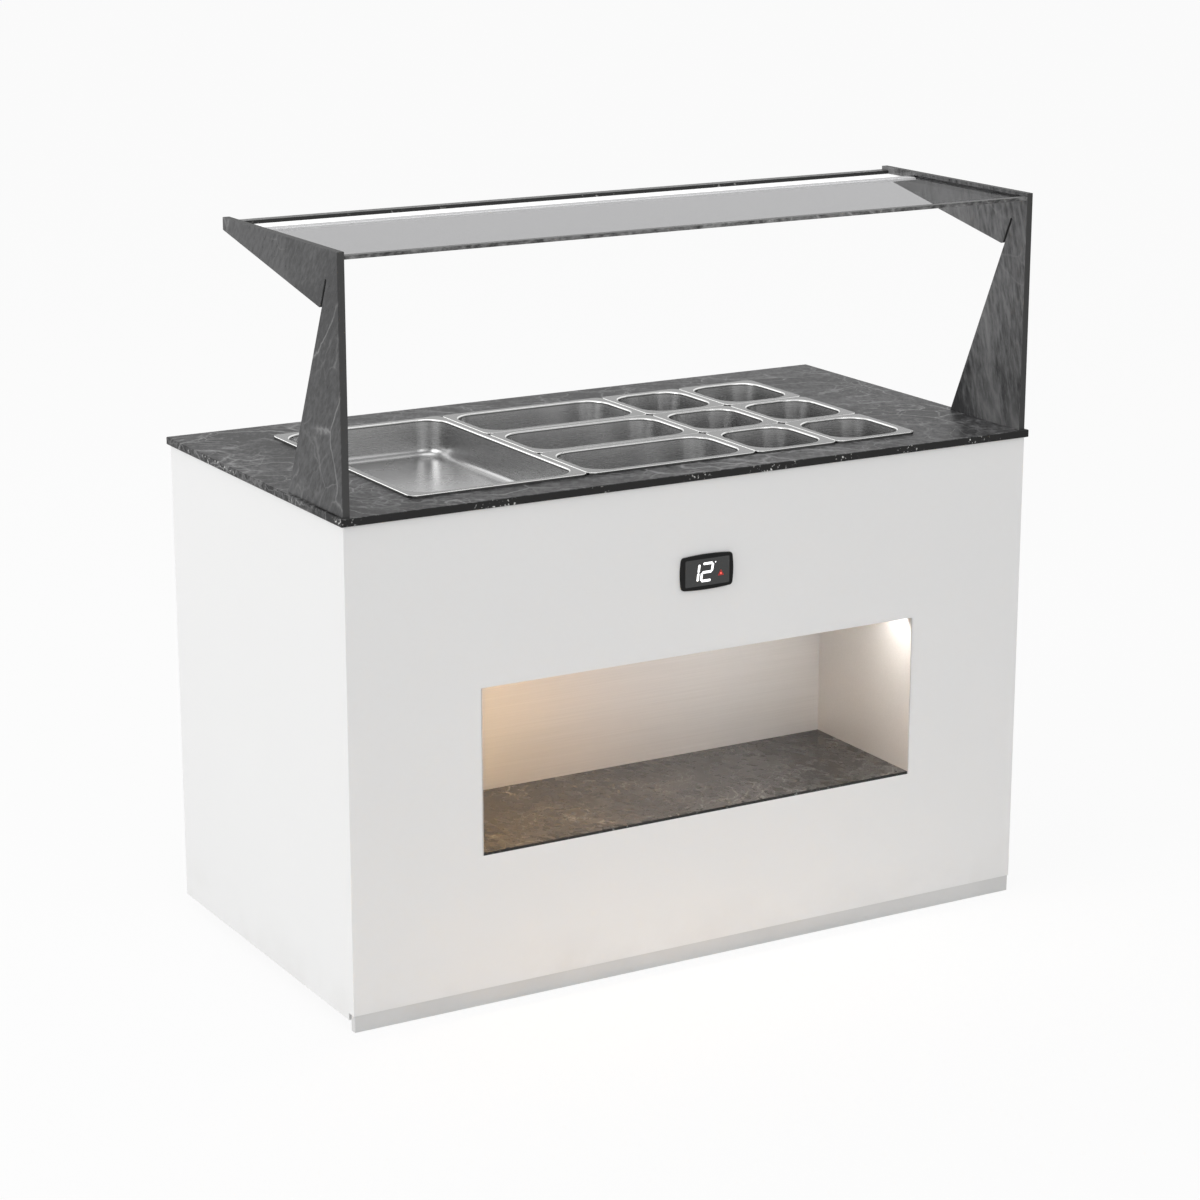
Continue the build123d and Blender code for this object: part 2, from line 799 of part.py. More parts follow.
def make_niche_shelf():
    return block(niche_left + niche_fit, niche_right - niche_fit, front_face, niche_back - niche_fit,
                 shelf_bottom, niche_floor_height)


def make_niche_light_channel():
    bottom = niche_ceiling - lamp_height
    channel = block(niche_left + niche_fit, niche_right - niche_fit, lamp_front, lamp_front + lamp_width,
                    bottom, niche_ceiling)
    return channel - block(niche_left, niche_right, lamp_front + light_sheet,
                           lamp_front + lamp_width - light_sheet,
                           bottom - cut_past, niche_ceiling - light_sheet)


def make_niche_light_diffuser():
    bottom = niche_ceiling - lamp_height
    end_gap = niche_fit + diffuser_fit
    return block(niche_left + end_gap, niche_right - end_gap, lamp_front + light_sheet + diffuser_fit,
                 lamp_front + lamp_width - light_sheet - diffuser_fit, bottom, bottom + diffuser_thickness)


# Temperature display

def display_plane(depth):
    """Plane that faces the diner, this far in front of the front panel."""
    return Plane((front_feature_x, front_face - depth, display_height), x_dir=(1, 0, 0), z_dir=(0, -1, 0))


def bezel_outline():
    half_x = bezel_width / 2
    half_z = bezel_tall / 2
    corner_x = half_x - bezel_bow
    corner_z = half_z - bezel_bow
    sides = [
        ThreePointArc((-corner_x, -corner_z), (0, -half_z), (corner_x, -corner_z)),
        ThreePointArc((corner_x, -corner_z), (half_x, 0), (corner_x, corner_z)),
        ThreePointArc((corner_x, corner_z), (0, half_z), (-corner_x, corner_z)),
        ThreePointArc((-corner_x, corner_z), (-half_x, 0), (-corner_x, -corner_z)),
    ]
    face = make_face(sides)
    return fillet(face.vertices(), bezel_corner)


def make_display_bezel():
    bezel = extrude(display_plane(0) * bezel_outline(), amount=bezel_stand)
    bezel = fillet(bezel.faces().sort_by(Axis.Y)[0].edges(), bezel_edge_round)
    recess = RectangleRounded(window_width, window_tall, window_corner)
    recess = display_plane(bezel_stand - window_recess) * recess
    return bezel - extrude(recess, amount=window_recess + cut_past)


def make_display_window():
    pane = RectangleRounded(window_width - 2 * diffuser_fit, window_tall - 2 * diffuser_fit,
                            window_corner - diffuser_fit)
    return extrude(display_plane(bezel_stand - window_recess) * pane, amount=window_recess - window_sunk)


def make_display_body():
    return block(front_feature_x - display_body_width / 2, front_feature_x + display_body_width / 2,
                 front_face, front_face + display_body_depth,
                 display_height - display_body_tall / 2, display_height + display_body_tall / 2)


# Rear service door

def make_service_door():
    door = block(door_left + door_gap, door_right - door_gap, rear_panel_inside, rear_face,
                 door_opening_bottom + door_gap, door_opening_top - door_gap)
    half = grille_width / 2 + grille_fit
    return door - block(-half, half, rear_panel_inside - cut_past, rear_face + cut_past,
                        grille_bottom - grille_fit, grille_bottom + grille_height + grille_fit)


def make_door_grille():
    """Frame of slanted blades that fills the door's opening."""
    half = grille_width / 2
    top = grille_bottom + grille_height
    outer_face = rear_face + grille_sheet
    frame = block(-half - grille_border, half + grille_border, rear_face, outer_face,
                  grille_bottom - grille_border, top + grille_border)
    frame = fillet(frame.edges().filter_by(Axis.Y), grille_border / 3)
    frame += block(-half, half, rear_panel_inside, rear_face, grille_bottom, top)
    frame -= block(-half + grille_sheet, half - grille_sheet,
                   rear_panel_inside - cut_past, outer_face + cut_past,
                   grille_bottom + grille_sheet, top - grille_sheet)
    pitch = (grille_height - 2 * grille_sheet) / blade_count
    middle_y = (rear_panel_inside + rear_face) / 2
    for number in range(blade_count):
        z = grille_bottom + grille_sheet + pitch * (number + 0.5)
        blade = Box(grille_width - grille_sheet, blade_width, grille_sheet)
        frame += Pos(0, middle_y, z) * Rot(-blade_tilt, 0, 0) * blade
    return frame


def hinge_leaf_plate(direction, height):
    """One leaf, flat on its panel, without its knuckles."""
    far = hinge_x + direction * hinge_leaf
    near = hinge_x + direction * (knuckle_radius + moving_gap)
    left, right = sorted((near, far))
    plate = block(left, right, rear_face, rear_face + hinge_sheet,
                  height - hinge_length / 2, height + hinge_length / 2)
    far_edges = plate.edges().filter_by(Axis.Y).sort_by_distance((far, rear_face, height))[:2]
    return fillet(far_edges, hinge_sheet * 2)


def knuckle(direction, bottom, top):
    """Round knuckle with the tongue that joins it to its leaf."""
    reach = hinge_x + direction * (knuckle_radius + moving_gap)
    left, right = sorted((hinge_x, reach + direction * hinge_sheet))
    tongue = block(left, right, rear_face + moving_gap, rear_face + hinge_sheet, bottom, top)
    return upright(hinge_x, hinge_y, bottom, top, knuckle_radius) + tongue


def make_hinge_frame_leaves():
    """Leaves on the rear panel: two knuckles each, with the pin fixed in them."""
    leaves = []
    third = hinge_length / 3
    for height in hinge_heights:
        bottom = height - hinge_length / 2
        top = height + hinge_length / 2
        leaf = hinge_leaf_plate(-1, height)
        leaf += knuckle(-1, bottom, bottom + third - moving_gap)
        leaf += knuckle(-1, top - third + moving_gap, top)
        leaves.append(leaf + upright(hinge_x, hinge_y, bottom, top, hinge_pin_radius))
    return group(leaves)


def make_hinge_door_leaves():
    """Leaves on the door: one knuckle each, which turns on the pin."""
    leaves = []
    third = hinge_length / 3
    for height in hinge_heights:
        leaf = hinge_leaf_plate(1, height) + knuckle(1, height - third / 2, height + third / 2)
        leaves.append(leaf - upright(hinge_x, hinge_y, height - hinge_length, height + hinge_length,
                                     hinge_pin_radius + running_gap))
    return group(leaves)


def make_door_pull():
    x = door_right - door_gap - pull_inset
    middle = (door_opening_bottom + door_opening_top) / 2
    low = middle - pull_span / 2
    high = middle + pull_span / 2
    reach = rear_face + pull_reach
    return pipe([(x, rear_face, low), (x, reach, low), (x, reach, high), (x, rear_face, high)],
                pull_radius, pull_bend)


def make_door_catch():
    """Magnet block inside the rear panel that the shut door rests against."""
    middle = (door_opening_bottom + door_opening_top) / 2
    rear = rear_panel_inside
    left = door_right - catch_width
    stop = block(left, door_right + catch_width, rear - catch_depth, rear,
                 middle - catch_height / 2, middle + catch_height / 2)
    return stop - block(left - cut_past, door_right, rear - moving_gap, rear + cut_past,
                        middle - catch_height, middle + catch_height)


# Switches and mains inlet

def switch_box_width():
    return switch_pitch + rocker_width + 2 * (rocker_side_gap + rocker_pin_length + switch_box_wall)


def switch_box_tall():
    return 2 * (rocker_half + rocker_end_gap + switch_box_wall)


def rocker_places():
    return [switch_x - switch_pitch / 2, switch_x + switch_pitch / 2]


def rocker_axis_y():
    return rear_face + switch_plate_sheet - rocker_dip


def make_switch_plate():
    """Cover plate with the box behind it that carries both rockers."""
    outer = rear_face + switch_plate_sheet
    plate = block(switch_x - switch_plate_width / 2, switch_x + switch_plate_width / 2, rear_face, outer,
                  switch_height - switch_plate_tall / 2, switch_height + switch_plate_tall / 2)
    plate = fillet(plate.edges().filter_by(Axis.Y), switch_plate_sheet * 2)
    half = switch_box_width() / 2
    half_tall = switch_box_tall() / 2
    plate += block(switch_x - half, switch_x + half, rear_face - switch_box_depth, rear_face,
                   switch_height - half_tall, switch_height + half_tall)
    pocket = rocker_width / 2 + rocker_side_gap
    pocket_tall = rocker_half + rocker_end_gap
    pin_reach = pocket + rocker_pin_length
    for x in rocker_places():
        plate -= block(x - pocket, x + pocket,
                       rear_face - switch_box_depth + switch_box_wall, outer + cut_past,
                       switch_height - pocket_tall, switch_height + pocket_tall)
        plate -= along_x(rocker_axis_y(), switch_height, x - pin_reach, x + pin_reach,
                         rocker_pin_radius + running_gap)
    return plate


def make_rocker(x):
    """Rocker on its two pivot pins, tipped to its upper side."""
    profile = Polygon((-rocker_half, 0), (-rocker_half, rocker_rise), (0, rocker_dip),
                      (rocker_half, rocker_rise), (rocker_half, 0), (rocker_half / 2, -rocker_keel),
                      (-rocker_half / 2, -rocker_keel), align=None)
    axis_y = rocker_axis_y()
    half = rocker_width / 2
    plane = Plane((x - half, axis_y, switch_height), x_dir=(0, 0, -1), z_dir=(1, 0, 0))
    body = extrude(plane * profile, amount=rocker_width, dir=(1, 0, 0))
    pin_reach = half + rocker_side_gap + rocker_pin_length - running_gap * 4
    body += along_x(axis_y, switch_height, x - pin_reach, x + pin_reach, rocker_pin_radius)
    axis = Axis((x, axis_y, switch_height), (1, 0, 0))
    return body.rotate(axis, rocker_tilt)


def make_power_inlet():
    """Three-pin mains socket body with its flange on the rear panel."""
    x = switch_x
    outer = rear_face + inlet_sheet
    inlet = block(x - inlet_width / 2, x + inlet_width / 2, rear_face, outer,
                  inlet_height - inlet_tall / 2, inlet_height + inlet_tall / 2)
    inlet = fillet(inlet.edges().filter_by(Axis.Y), inlet_sheet * 2)
    inlet += block(x - inlet_body_width / 2, x + inlet_body_width / 2, outer - inlet_body_depth, rear_face,
                   inlet_height - inlet_body_tall / 2, inlet_height + inlet_body_tall / 2)
    floor = outer - inlet_socket_depth
    inlet -= block(x - inlet_socket_width / 2, x + inlet_socket_width / 2, floor, outer + cut_past,
                   inlet_height - inlet_socket_tall / 2, inlet_height + inlet_socket_tall / 2)
    for number in (-1, 0, 1):
        pin_x = x + number * inlet_pin_pitch
        pin_z = inlet_height + (inlet_pin_tall / 2 if number == 0 else -inlet_pin_tall / 2)
        inlet += block(pin_x - inlet_pin_width / 2, pin_x + inlet_pin_width / 2, floor - inlet_sheet,
                       floor + inlet_pin_length, pin_z - inlet_pin_tall / 2, pin_z + inlet_pin_tall / 2)
    return inlet


# Cooling machine

def grommet_places():
    reach_x = compressor_plate_width / 2 - grommet_inset
    reach_y = compressor_plate_depth / 2 - grommet_inset
    return [(compressor_x + across * reach_x, compressor_y + along * reach_y)
            for across in (-1, 1) for along in (-1, 1)]


def make_unit_tray():
    tray = block(tray_left, tray_right, tray_front, tray_rear, base_top, base_top + tray_lip)
    tray -= block(tray_left + tray_sheet, tray_right - tray_sheet,
                  tray_front + tray_sheet, tray_rear - tray_sheet,
                  tray_top, base_top + tray_lip + cut_past)
    for x, y in grommet_places():
        tray += upright(x, y, tray_top - tray_sheet / 2, tray_top + stud_rise, stud_radius)
    return tray


def make_compressor():
    plate = block(compressor_x - compressor_plate_width / 2, compressor_x + compressor_plate_width / 2,
                  compressor_y - compressor_plate_depth / 2, compressor_y + compressor_plate_depth / 2,
                  compressor_plate_bottom, compressor_plate_top)
    plate = fillet(plate.edges().filter_by(Axis.Z), grommet_radius)
    for x, y in grommet_places():
        plate -= upright(x, y, compressor_plate_bottom - cut_past, compressor_plate_top + cut_past,
                         stud_radius + stud_fit)
    shell = upright(compressor_x, compressor_y, compressor_plate_top, compressor_top, compressor_radius)
    shell = fillet(shell.edges().group_by(Axis.Z)[-1], compressor_top_round)
    shell = fillet(shell.edges().group_by(Axis.Z)[0], compressor_foot_round)
    shell += plate
    for x, y in compressor_stubs():
        shell += upright(x, y, compressor_top - compressor_top_round, compressor_top + compressor_stub_rise,
                         compressor_stub_radius)
    return shell


def compressor_stubs():
    """Places of the discharge stub and the suction stub."""
    return [(compressor_x + side * compressor_stub_offset, compressor_y) for side in (1, -1)]


def make_compressor_grommets():
    rings = []
    for x, y in grommet_places():
        ring = upright(x, y, tray_top, compressor_plate_bottom, grommet_radius)
        ring = fillet(ring.edges(), grommet_height / 5)
        rings.append(ring - upright(x, y, tray_top - cut_past, compressor_plate_bottom + cut_past,
                                    stud_radius + stud_fit))
    return group(rings)


def condenser_levels():
    return [condenser_top - condenser_pitch * (number + 0.5) for number in range(condenser_run_count)]


def make_condenser():
    """Fin block on one serpentine tube, standing on its two end plates."""
    levels = condenser_levels()
    bend = condenser_pitch / 2 - condenser_bend_gap
    y = condenser_middle_y
    points = [(condenser_left - condenser_tail, y, levels[0])]
    for number, z in enumerate(levels):
        if number > 0:
            points.append((points[-1][0], y, z))
        if number < len(levels) - 1:
            points.append((condenser_right + bend if number % 2 == 0 else condenser_left - bend, y, z))
    points.append((condenser_left - condenser_tail, y, levels[-1]))
    coil = pipe(points, condenser_tube_radius, bend)
    fin_pitch = (condenser_width - fin_sheet) / (fin_count - 1)
    for number in range(fin_count):
        left = condenser_left + fin_pitch * number
        end_plate = number in (0, fin_count - 1)
        coil += block(left, left + fin_sheet, condenser_front, condenser_rear,
                      tray_top if end_plate else condenser_bottom, condenser_top)
    return coil


def make_fan_shroud():
    shroud = block(condenser_left, condenser_right, shroud_front, condenser_front,
                   condenser_bottom, condenser_top)
    shroud -= block(condenser_left + shroud_sheet, condenser_right - shroud_sheet,
                    shroud_front + shroud_sheet, condenser_front + cut_past,
                    condenser_bottom + shroud_sheet, condenser_top - shroud_sheet)
    return shroud - along_y(fan_x, fan_z, shroud_front - cut_past, shroud_front + cut_past,
                            fan_opening_radius)


def make_fan_motor():
    """Motor on a stand of folded sheet, with its shaft towards the condenser."""
    front = motor_rear - motor_length
    motor = along_y(fan_x, fan_z, front, motor_rear, motor_radius)
    motor = fillet(motor.edges(), motor_radius / 8)
    half = motor_stand_width / 2
    middle = (front + motor_rear) / 2
    motor += block(fan_x - half, fan_x + half, middle - motor_stand_sheet / 2, middle + motor_stand_sheet / 2,
                   tray_top, fan_z)
    motor += block(fan_x - half, fan_x + half, middle - motor_length / 2, middle + motor_length / 2,
                   tray_top, tray_top + motor_stand_sheet)
    shaft_end = fan_middle_y + fan_hub_length / 2 - motor_gap
    return motor + along_y(fan_x, fan_z, front, shaft_end, fan_shaft_radius)


def make_fan_blade():
    """Hub with pitched blades, turning on the motor shaft."""
    hub_front = fan_middle_y - fan_hub_length / 2
    hub_rear = fan_middle_y + fan_hub_length / 2
    hub = along_y(fan_x, fan_z, hub_front, hub_rear, fan_hub_radius)
    hub = fillet(hub.edges().group_by(Axis.Y)[-1], fan_hub_length / 4)
    rotor = hub
    inner = fan_hub_radius - fan_shaft_radius
    for number in range(fan_blade_count):
        blade = Pos((inner + fan_radius) / 2, 0, 0) * Rot(fan_blade_pitch, 0, 0) * Box(
            fan_radius - inner, fan_blade_sheet, fan_blade_chord)
        tip_edges = blade.edges().sort_by(Axis.X)[-4:].filter_by(Axis.X, reverse=True)
        blade = fillet(tip_edges.sort_by(SortBy.LENGTH)[:2], fan_blade_sheet * 0.4)
        turned = Rot(0, 360 * number / fan_blade_count, 0) * blade
        rotor += Pos(fan_x, fan_middle_y, fan_z) * turned
    rotor = rotor & along_y(fan_x, fan_z, hub_front - fan_blade_chord, hub_rear + fan_blade_chord,
                            fan_radius)
    return rotor - along_y(fan_x, fan_z, hub_front - cut_past, hub_rear - motor_gap + moving_gap,
                           fan_shaft_radius + running_gap)


def make_refrigerant_pipes():
    """Discharge, suction and liquid lines, with the filter drier in the liquid line."""
    (discharge_x, discharge_y), (suction_x, suction_y) = compressor_stubs()
    stub_top = compressor_top + compressor_stub_rise
    (liquid_end, suction_end) = coil_ends()
    coil_low = insulation_bottom - coil_riser_drop
    levels = condenser_levels()
    tail = condenser_left - condenser_tail
    y = condenser_middle_y
    discharge = pipe([(discharge_x, discharge_y, stub_top), (discharge_x, discharge_y, levels[0]),
                      (discharge_x, y, levels[0]), (tail, y, levels[0])], pipe_radius, pipe_bend)
    suction_level = insulation_bottom - suction_level_drop
    suction = pipe([(suction_x, suction_y, stub_top), (suction_x, suction_y, suction_level),
                    (*suction_end, suction_level), (*suction_end, coil_low)], pipe_radius, pipe_bend)
    drier_right = tail - drier_neck
    drier_left = drier_right - drier_length
    drier = along_x(y, levels[-1], drier_left, drier_right, drier_radius)
    drier = fillet(drier.edges(), drier_radius / 2)
    drier += along_x(y, levels[-1], drier_right - drier_neck, tail, condenser_tube_radius)
    liquid_level = insulation_bottom - liquid_level_drop
    turn_x = tray_left - pipe_bend
    liquid = pipe([(drier_left, y, levels[-1]), (turn_x, y, levels[-1]), (turn_x, y, liquid_level),
                   (*liquid_end, liquid_level), (*liquid_end, coil_low)], capillary_radius, pipe_bend)
    return group([discharge, suction, drier, liquid])


def make_electrical_box():
    left = switch_x - electrical_width / 2
    rear = rear_panel_inside - electrical_rear_gap
    top = base_top + electrical_height
    box = block(left, left + electrical_width, rear - electrical_depth, rear, base_top, top)
    box = fillet(box.edges().filter_by(Axis.Z), electrical_corner)
    lid = block(left - electrical_lid, left + electrical_width + electrical_lid,
                rear - electrical_depth - electrical_lid, rear + electrical_lid,
                top, top + electrical_lid * 4)
    return box + fillet(lid.edges().filter_by(Axis.Z), electrical_corner)


nodes = {
    "front_panel": make_front_panel(),
    "side_panel_left": make_side_panel(-1),
    "side_panel_right": make_side_panel(1),
    "rear_panel": make_rear_panel(),
    "base_board": make_base_board(),
    "front_skirting": make_front_skirting(),
    "floor_glides": make_floor_glides(),
    "corner_brackets": make_corner_brackets(),
    "stone_top": make_stone_top(),
    "support_left": make_support(-1),
    "support_right": make_support(1),
    "support_dowels": make_support_dowels(),
    "front_rail": make_front_rail(),
    "rear_rail": make_rear_rail(),
    "canopy_glass": make_canopy_glass(),
    "canopy_light_tray": make_canopy_light_tray(),
    "canopy_light_diffuser": make_canopy_light_diffuser(),
    "pan_bars": make_pan_bars(),
    "well_tub": make_well_tub(),
    "well_insulation": make_well_insulation(),
    "evaporator_coil": make_evaporator_coil(),
    "drain_valve": make_drain_valve(),
    "drain_lever": make_drain_lever(),
    "temperature_probe": make_temperature_probe(),
    "niche_liner": make_niche_liner(),
    "niche_shelf": make_niche_shelf(),
    "niche_light_channel": make_niche_light_channel(),
    "niche_light_diffuser": make_niche_light_diffuser(),
    "display_bezel": make_display_bezel(),
    "display_window": make_display_window(),
    "display_body": make_display_body(),
    "service_door": make_service_door(),
    "door_grille": make_door_grille(),
    "hinge_frame_leaves": make_hinge_frame_leaves(),
    "hinge_door_leaves": make_hinge_door_leaves(),
    "door_pull": make_door_pull(),
    "door_catch": make_door_catch(),
    "switch_plate": make_switch_plate(),
    "cooling_switch": make_rocker(rocker_places()[0]),
    "light_switch": make_rocker(rocker_places()[1]),
    "power_inlet": make_power_inlet(),
    "unit_tray": make_unit_tray(),
    "compressor": make_compressor(),
    "compressor_grommets": make_compressor_grommets(),
    "condenser": make_condenser(),
    "fan_shroud": make_fan_shroud(),
    "fan_motor": make_fan_motor(),
    "fan_blade": make_fan_blade(),
    "refrigerant_pipes": make_refrigerant_pipes(),
    "electrical_box": make_electrical_box(),
}
nodes.update(make_pans())

os.makedirs("parts", exist_ok=True)
for name, shape in nodes.items():
    export_step(shape, f"parts/{name}.step")
print(f"{len(nodes)} nodes")
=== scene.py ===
import json
import math

import bmesh
import bpy
from mathutils import Matrix, Vector


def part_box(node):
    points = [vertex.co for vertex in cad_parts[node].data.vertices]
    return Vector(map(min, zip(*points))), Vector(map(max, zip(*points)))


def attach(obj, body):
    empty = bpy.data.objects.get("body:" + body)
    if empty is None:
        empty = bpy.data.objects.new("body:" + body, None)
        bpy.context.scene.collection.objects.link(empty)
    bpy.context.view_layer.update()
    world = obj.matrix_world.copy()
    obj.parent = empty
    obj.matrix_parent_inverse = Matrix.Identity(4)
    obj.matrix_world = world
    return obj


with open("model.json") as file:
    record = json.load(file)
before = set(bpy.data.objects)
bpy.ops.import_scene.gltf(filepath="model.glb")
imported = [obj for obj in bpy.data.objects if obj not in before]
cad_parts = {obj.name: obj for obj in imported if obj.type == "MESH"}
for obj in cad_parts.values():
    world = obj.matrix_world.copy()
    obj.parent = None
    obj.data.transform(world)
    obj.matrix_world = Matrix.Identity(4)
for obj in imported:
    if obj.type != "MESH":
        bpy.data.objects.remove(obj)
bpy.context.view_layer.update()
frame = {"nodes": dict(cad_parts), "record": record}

cadNodes = frame["nodes"]
mm = 0.001


# camera at the photograph's viewing angle
cameraFacts = {
    "place": (-2.6324, -4.5436, 1.9772),
    "turnRight": 30.09,    # degrees away from straight ahead
    "lookDown": 15.185,
    "lens": 93.32,
    "sensor": 36.0,
}


def addCamera(facts):
    data = bpy.data.cameras.new("counterCamera")
    data.sensor_fit = "HORIZONTAL"
    data.sensor_width = facts["sensor"]
    data.lens = facts["lens"]
    camera = bpy.data.objects.new("counterCamera", data)
    camera.location = facts["place"]
    camera.rotation_euler = (math.radians(90 - facts["lookDown"]), 0, math.radians(-facts["turnRight"]))
    bpy.context.scene.collection.objects.link(camera)
    bpy.context.scene.camera = camera


addCamera(cameraFacts)
bpy.context.scene.view_settings.view_transform = "Standard"


# node helpers shared by every material
def grey(level, blue=None):
    return (level, level, level if blue is None else blue)


def addNode(tree, kind, sockets=None, **settings):
    node = tree.nodes.new("ShaderNode" + kind)
    for key, value in settings.items():
        setattr(node, key, value)
    for key, value in (sockets or {}).items():
        feed(tree, value, node.inputs[key])
    return node


def feed(tree, value, socket):
    if isinstance(value, bpy.types.NodeSocket):
        tree.links.new(value, socket)
    elif socket.type == "RGBA" and len(value) == 3:
        socket.default_value = (*value, 1)
    else:
        socket.default_value = value


def startMaterial(name, colour, roughness, metallic=0.0):
    material = bpy.data.materials.new(name)
    material.use_nodes = True
    tree = material.node_tree
    shader = tree.nodes["Principled BSDF"]
    feed(tree, colour, shader.inputs["Base Color"])
    shader.inputs["Roughness"].default_value = roughness
    shader.inputs["Metallic"].default_value = metallic
    return material, tree, shader


def objectPlace(tree, stretch=(1, 1, 1), turn=(0, 0, 0)):
    coordinate = addNode(tree, "TexCoord")
    turned = [math.radians(angle) for angle in turn]
    sockets = {"Vector": coordinate.outputs["Object"], "Scale": stretch, "Rotation": turned}
    return addNode(tree, "Mapping", sockets, vector_type="TEXTURE").outputs["Vector"]


def axisValue(tree, vector, axis):
    return addNode(tree, "SeparateXYZ", {"Vector": vector}).outputs[axis]


def faceNormal(tree):
    return addNode(tree, "NewGeometry").outputs["Normal"]


noiseRoughness = 0.55


def noiseValue(tree, place, scale, detail, rough=noiseRoughness):
    sockets = {"Vector": place, "Scale": scale, "Detail": detail, "Roughness": rough}
    return addNode(tree, "TexNoise", sockets).outputs["Fac"]


def remap(tree, value, low, high, newLow=0.0, newHigh=1.0):
    sockets = {"Value": value, "From Min": low, "From Max": high, "To Min": newLow, "To Max": newHigh}
    return addNode(tree, "MapRange", sockets).outputs["Result"]


def noiseBand(tree, place, band, newLow=0.0, newHigh=1.0, rough=noiseRoughness):
    # a band is the noise's scale and detail, and the two levels that are stretched apart
    scale, detail, low, high = band
    return remap(tree, noiseValue(tree, place, scale, detail, rough), low, high, newLow, newHigh)


def combine(tree, operation, first, second=0.0):
    return addNode(tree, "Math", {0: first, 1: second}, operation=operation).outputs[0]


def mixValue(tree, share, first, second):
    return addNode(tree, "Mix", {0: share, 2: first, 3: second}).outputs[0]


def mixColour(tree, share, first, second):
    return addNode(tree, "Mix", {0: share, 6: first, 7: second}, data_type="RGBA").outputs[2]


def bumpFrom(tree, shader, height, strength, distance):
    bump = addNode(tree, "Bump", {"Height": height, "Strength": strength, "Distance": distance})
    tree.links.new(bump.outputs["Normal"], shader.inputs["Normal"])


# studio: white surroundings, a pale floor that keeps the shadow, soft lamps
studio = {
    "skyLevel": 0.58,
    "floorColour": grey(0.74),
    "floorSpeckle": grey(0.7289),
    "speckleNoise": (40.0, 3.0),
    "floorRoughness": 0.9,
    "floorWhite": 0.92,    # share of plain white in the floor as the camera sees it
    "floorHalf": 80.0,
    "lamps": [
        {"name": "keyLeft", "place": (-9.2, -1.8, 5.2), "size": 5.6, "power": 350},
        {"name": "fillFront", "place": (0.2, -5.5, 3.4), "size": 3.2, "power": 40},
        {"name": "softTop", "place": (-0.6, -0.2, 4.8), "size": 3.0, "power": 36},
        {"name": "fillRear", "place": (-3.4, 4.4, 2.6), "size": 3.0, "power": 34},
    ],
    "aim": (0.0, 0.0, 0.62),
}


def seenDirectly(tree):
    rays = addNode(tree, "LightPath").outputs
    cameraOrGloss = combine(tree, "MAXIMUM", rays["Is Camera Ray"], rays["Is Glossy Ray"])
    return combine(tree, "MAXIMUM", cameraOrGloss, rays["Is Transmission Ray"])


def addWorld(facts):
    world = bpy.data.worlds.new("studioWorld")
    world.use_nodes = True
    tree = world.node_tree
    sky = tree.nodes["Background"]
    sky.inputs["Color"].default_value = (1, 1, 1, 1)
    tree.links.new(remap(tree, seenDirectly(tree), 0.0, 1.0, facts["skyLevel"], 1.0), sky.inputs["Strength"])
    bpy.context.scene.world = world


def addFloor(facts):
    material, tree, shader = startMaterial("studioFloor", facts["floorColour"], facts["floorRoughness"])
    speckle = noiseValue(tree, objectPlace(tree), *facts["speckleNoise"])
    colour = mixColour(tree, speckle, facts["floorColour"], facts["floorSpeckle"])
    tree.links.new(colour, shader.inputs["Base Color"])
    white = addNode(tree, "Emission", {"Color": (1, 1, 1), "Strength": 1.0})
    share = combine(tree, "MULTIPLY", seenDirectly(tree), facts["floorWhite"])
    blend = addNode(tree, "MixShader", {0: share, 1: shader.outputs[0], 2: white.outputs[0]})
    tree.links.new(blend.outputs[0], tree.nodes["Material Output"].inputs["Surface"])
    bm = bmesh.new()
    bmesh.ops.create_grid(bm, x_segments=1, y_segments=1, size=facts["floorHalf"])
    mesh = bpy.data.meshes.new("studioFloor")
    bm.to_mesh(mesh)
    bm.free()
    mesh.materials.append(material)
    floor = bpy.data.objects.new("studioFloor", mesh)
    bpy.context.scene.collection.objects.link(floor)


def addLamps(facts):
    for lamp in facts["lamps"]:
        data = bpy.data.lights.new(lamp["name"], "AREA")
        data.size = lamp["size"]
        data.energy = lamp["power"]
        holder = bpy.data.objects.new(lamp["name"], data)
        holder.location = lamp["place"]
        away = Vector(lamp["place"]) - Vector(facts["aim"])
        holder.rotation_euler = away.to_track_quat("Z", "Y").to_euler()
        holder.visible_camera = False
        bpy.context.scene.collection.objects.link(holder)


addWorld(studio)
addFloor(studio)
addLamps(studio)
print("studio ready:", len(studio["lamps"]), "lamps")


# white laminated board of the cabinet
laminateLook = {
    "white": grey(0.86, 0.857),
    "shade": grey(0.835, 0.832),
    "toneNoise": (1.4, 3.0),
    "lowTone": (0.70, 0.69, 0.67),
    "lowToneBand": (9.0, 6.0, 0.42, 0.72),
    "lowToneMost": 0.5,
    "lowToneTop": 0.11,      # metres above the floor
    "rubBand": (2.5, 4.0, 0.2, 0.8),
    "roughness": (0.36, 0.42),
    "grainNoise": (620.0, 2.0),
    "bump": (0.05, 0.0004),      # strength, and depth in metres
}


def makeLaminate(look):
    material, tree, shader = startMaterial("whiteLaminate", look["white"], look["roughness"][0])
    place = objectPlace(tree)
    clean = mixColour(tree, noiseValue(tree, place, *look["toneNoise"]), look["white"], look["shade"])
    # darker in patches towards the floor
    low = remap(tree, axisValue(tree, place, "Z"), 0.0, look["lowToneTop"], look["lowToneMost"], 0.0)
    patchy = combine(tree, "MULTIPLY", low, noiseBand(tree, place, look["lowToneBand"]))
    tree.links.new(mixColour(tree, patchy, clean, look["lowTone"]), shader.inputs["Base Color"])
    rubbed = noiseBand(tree, place, look["rubBand"], *look["roughness"])
    tree.links.new(rubbed, shader.inputs["Roughness"])
    bumpFrom(tree, shader, noiseValue(tree, place, *look["grainNoise"]), *look["bump"])
    return material
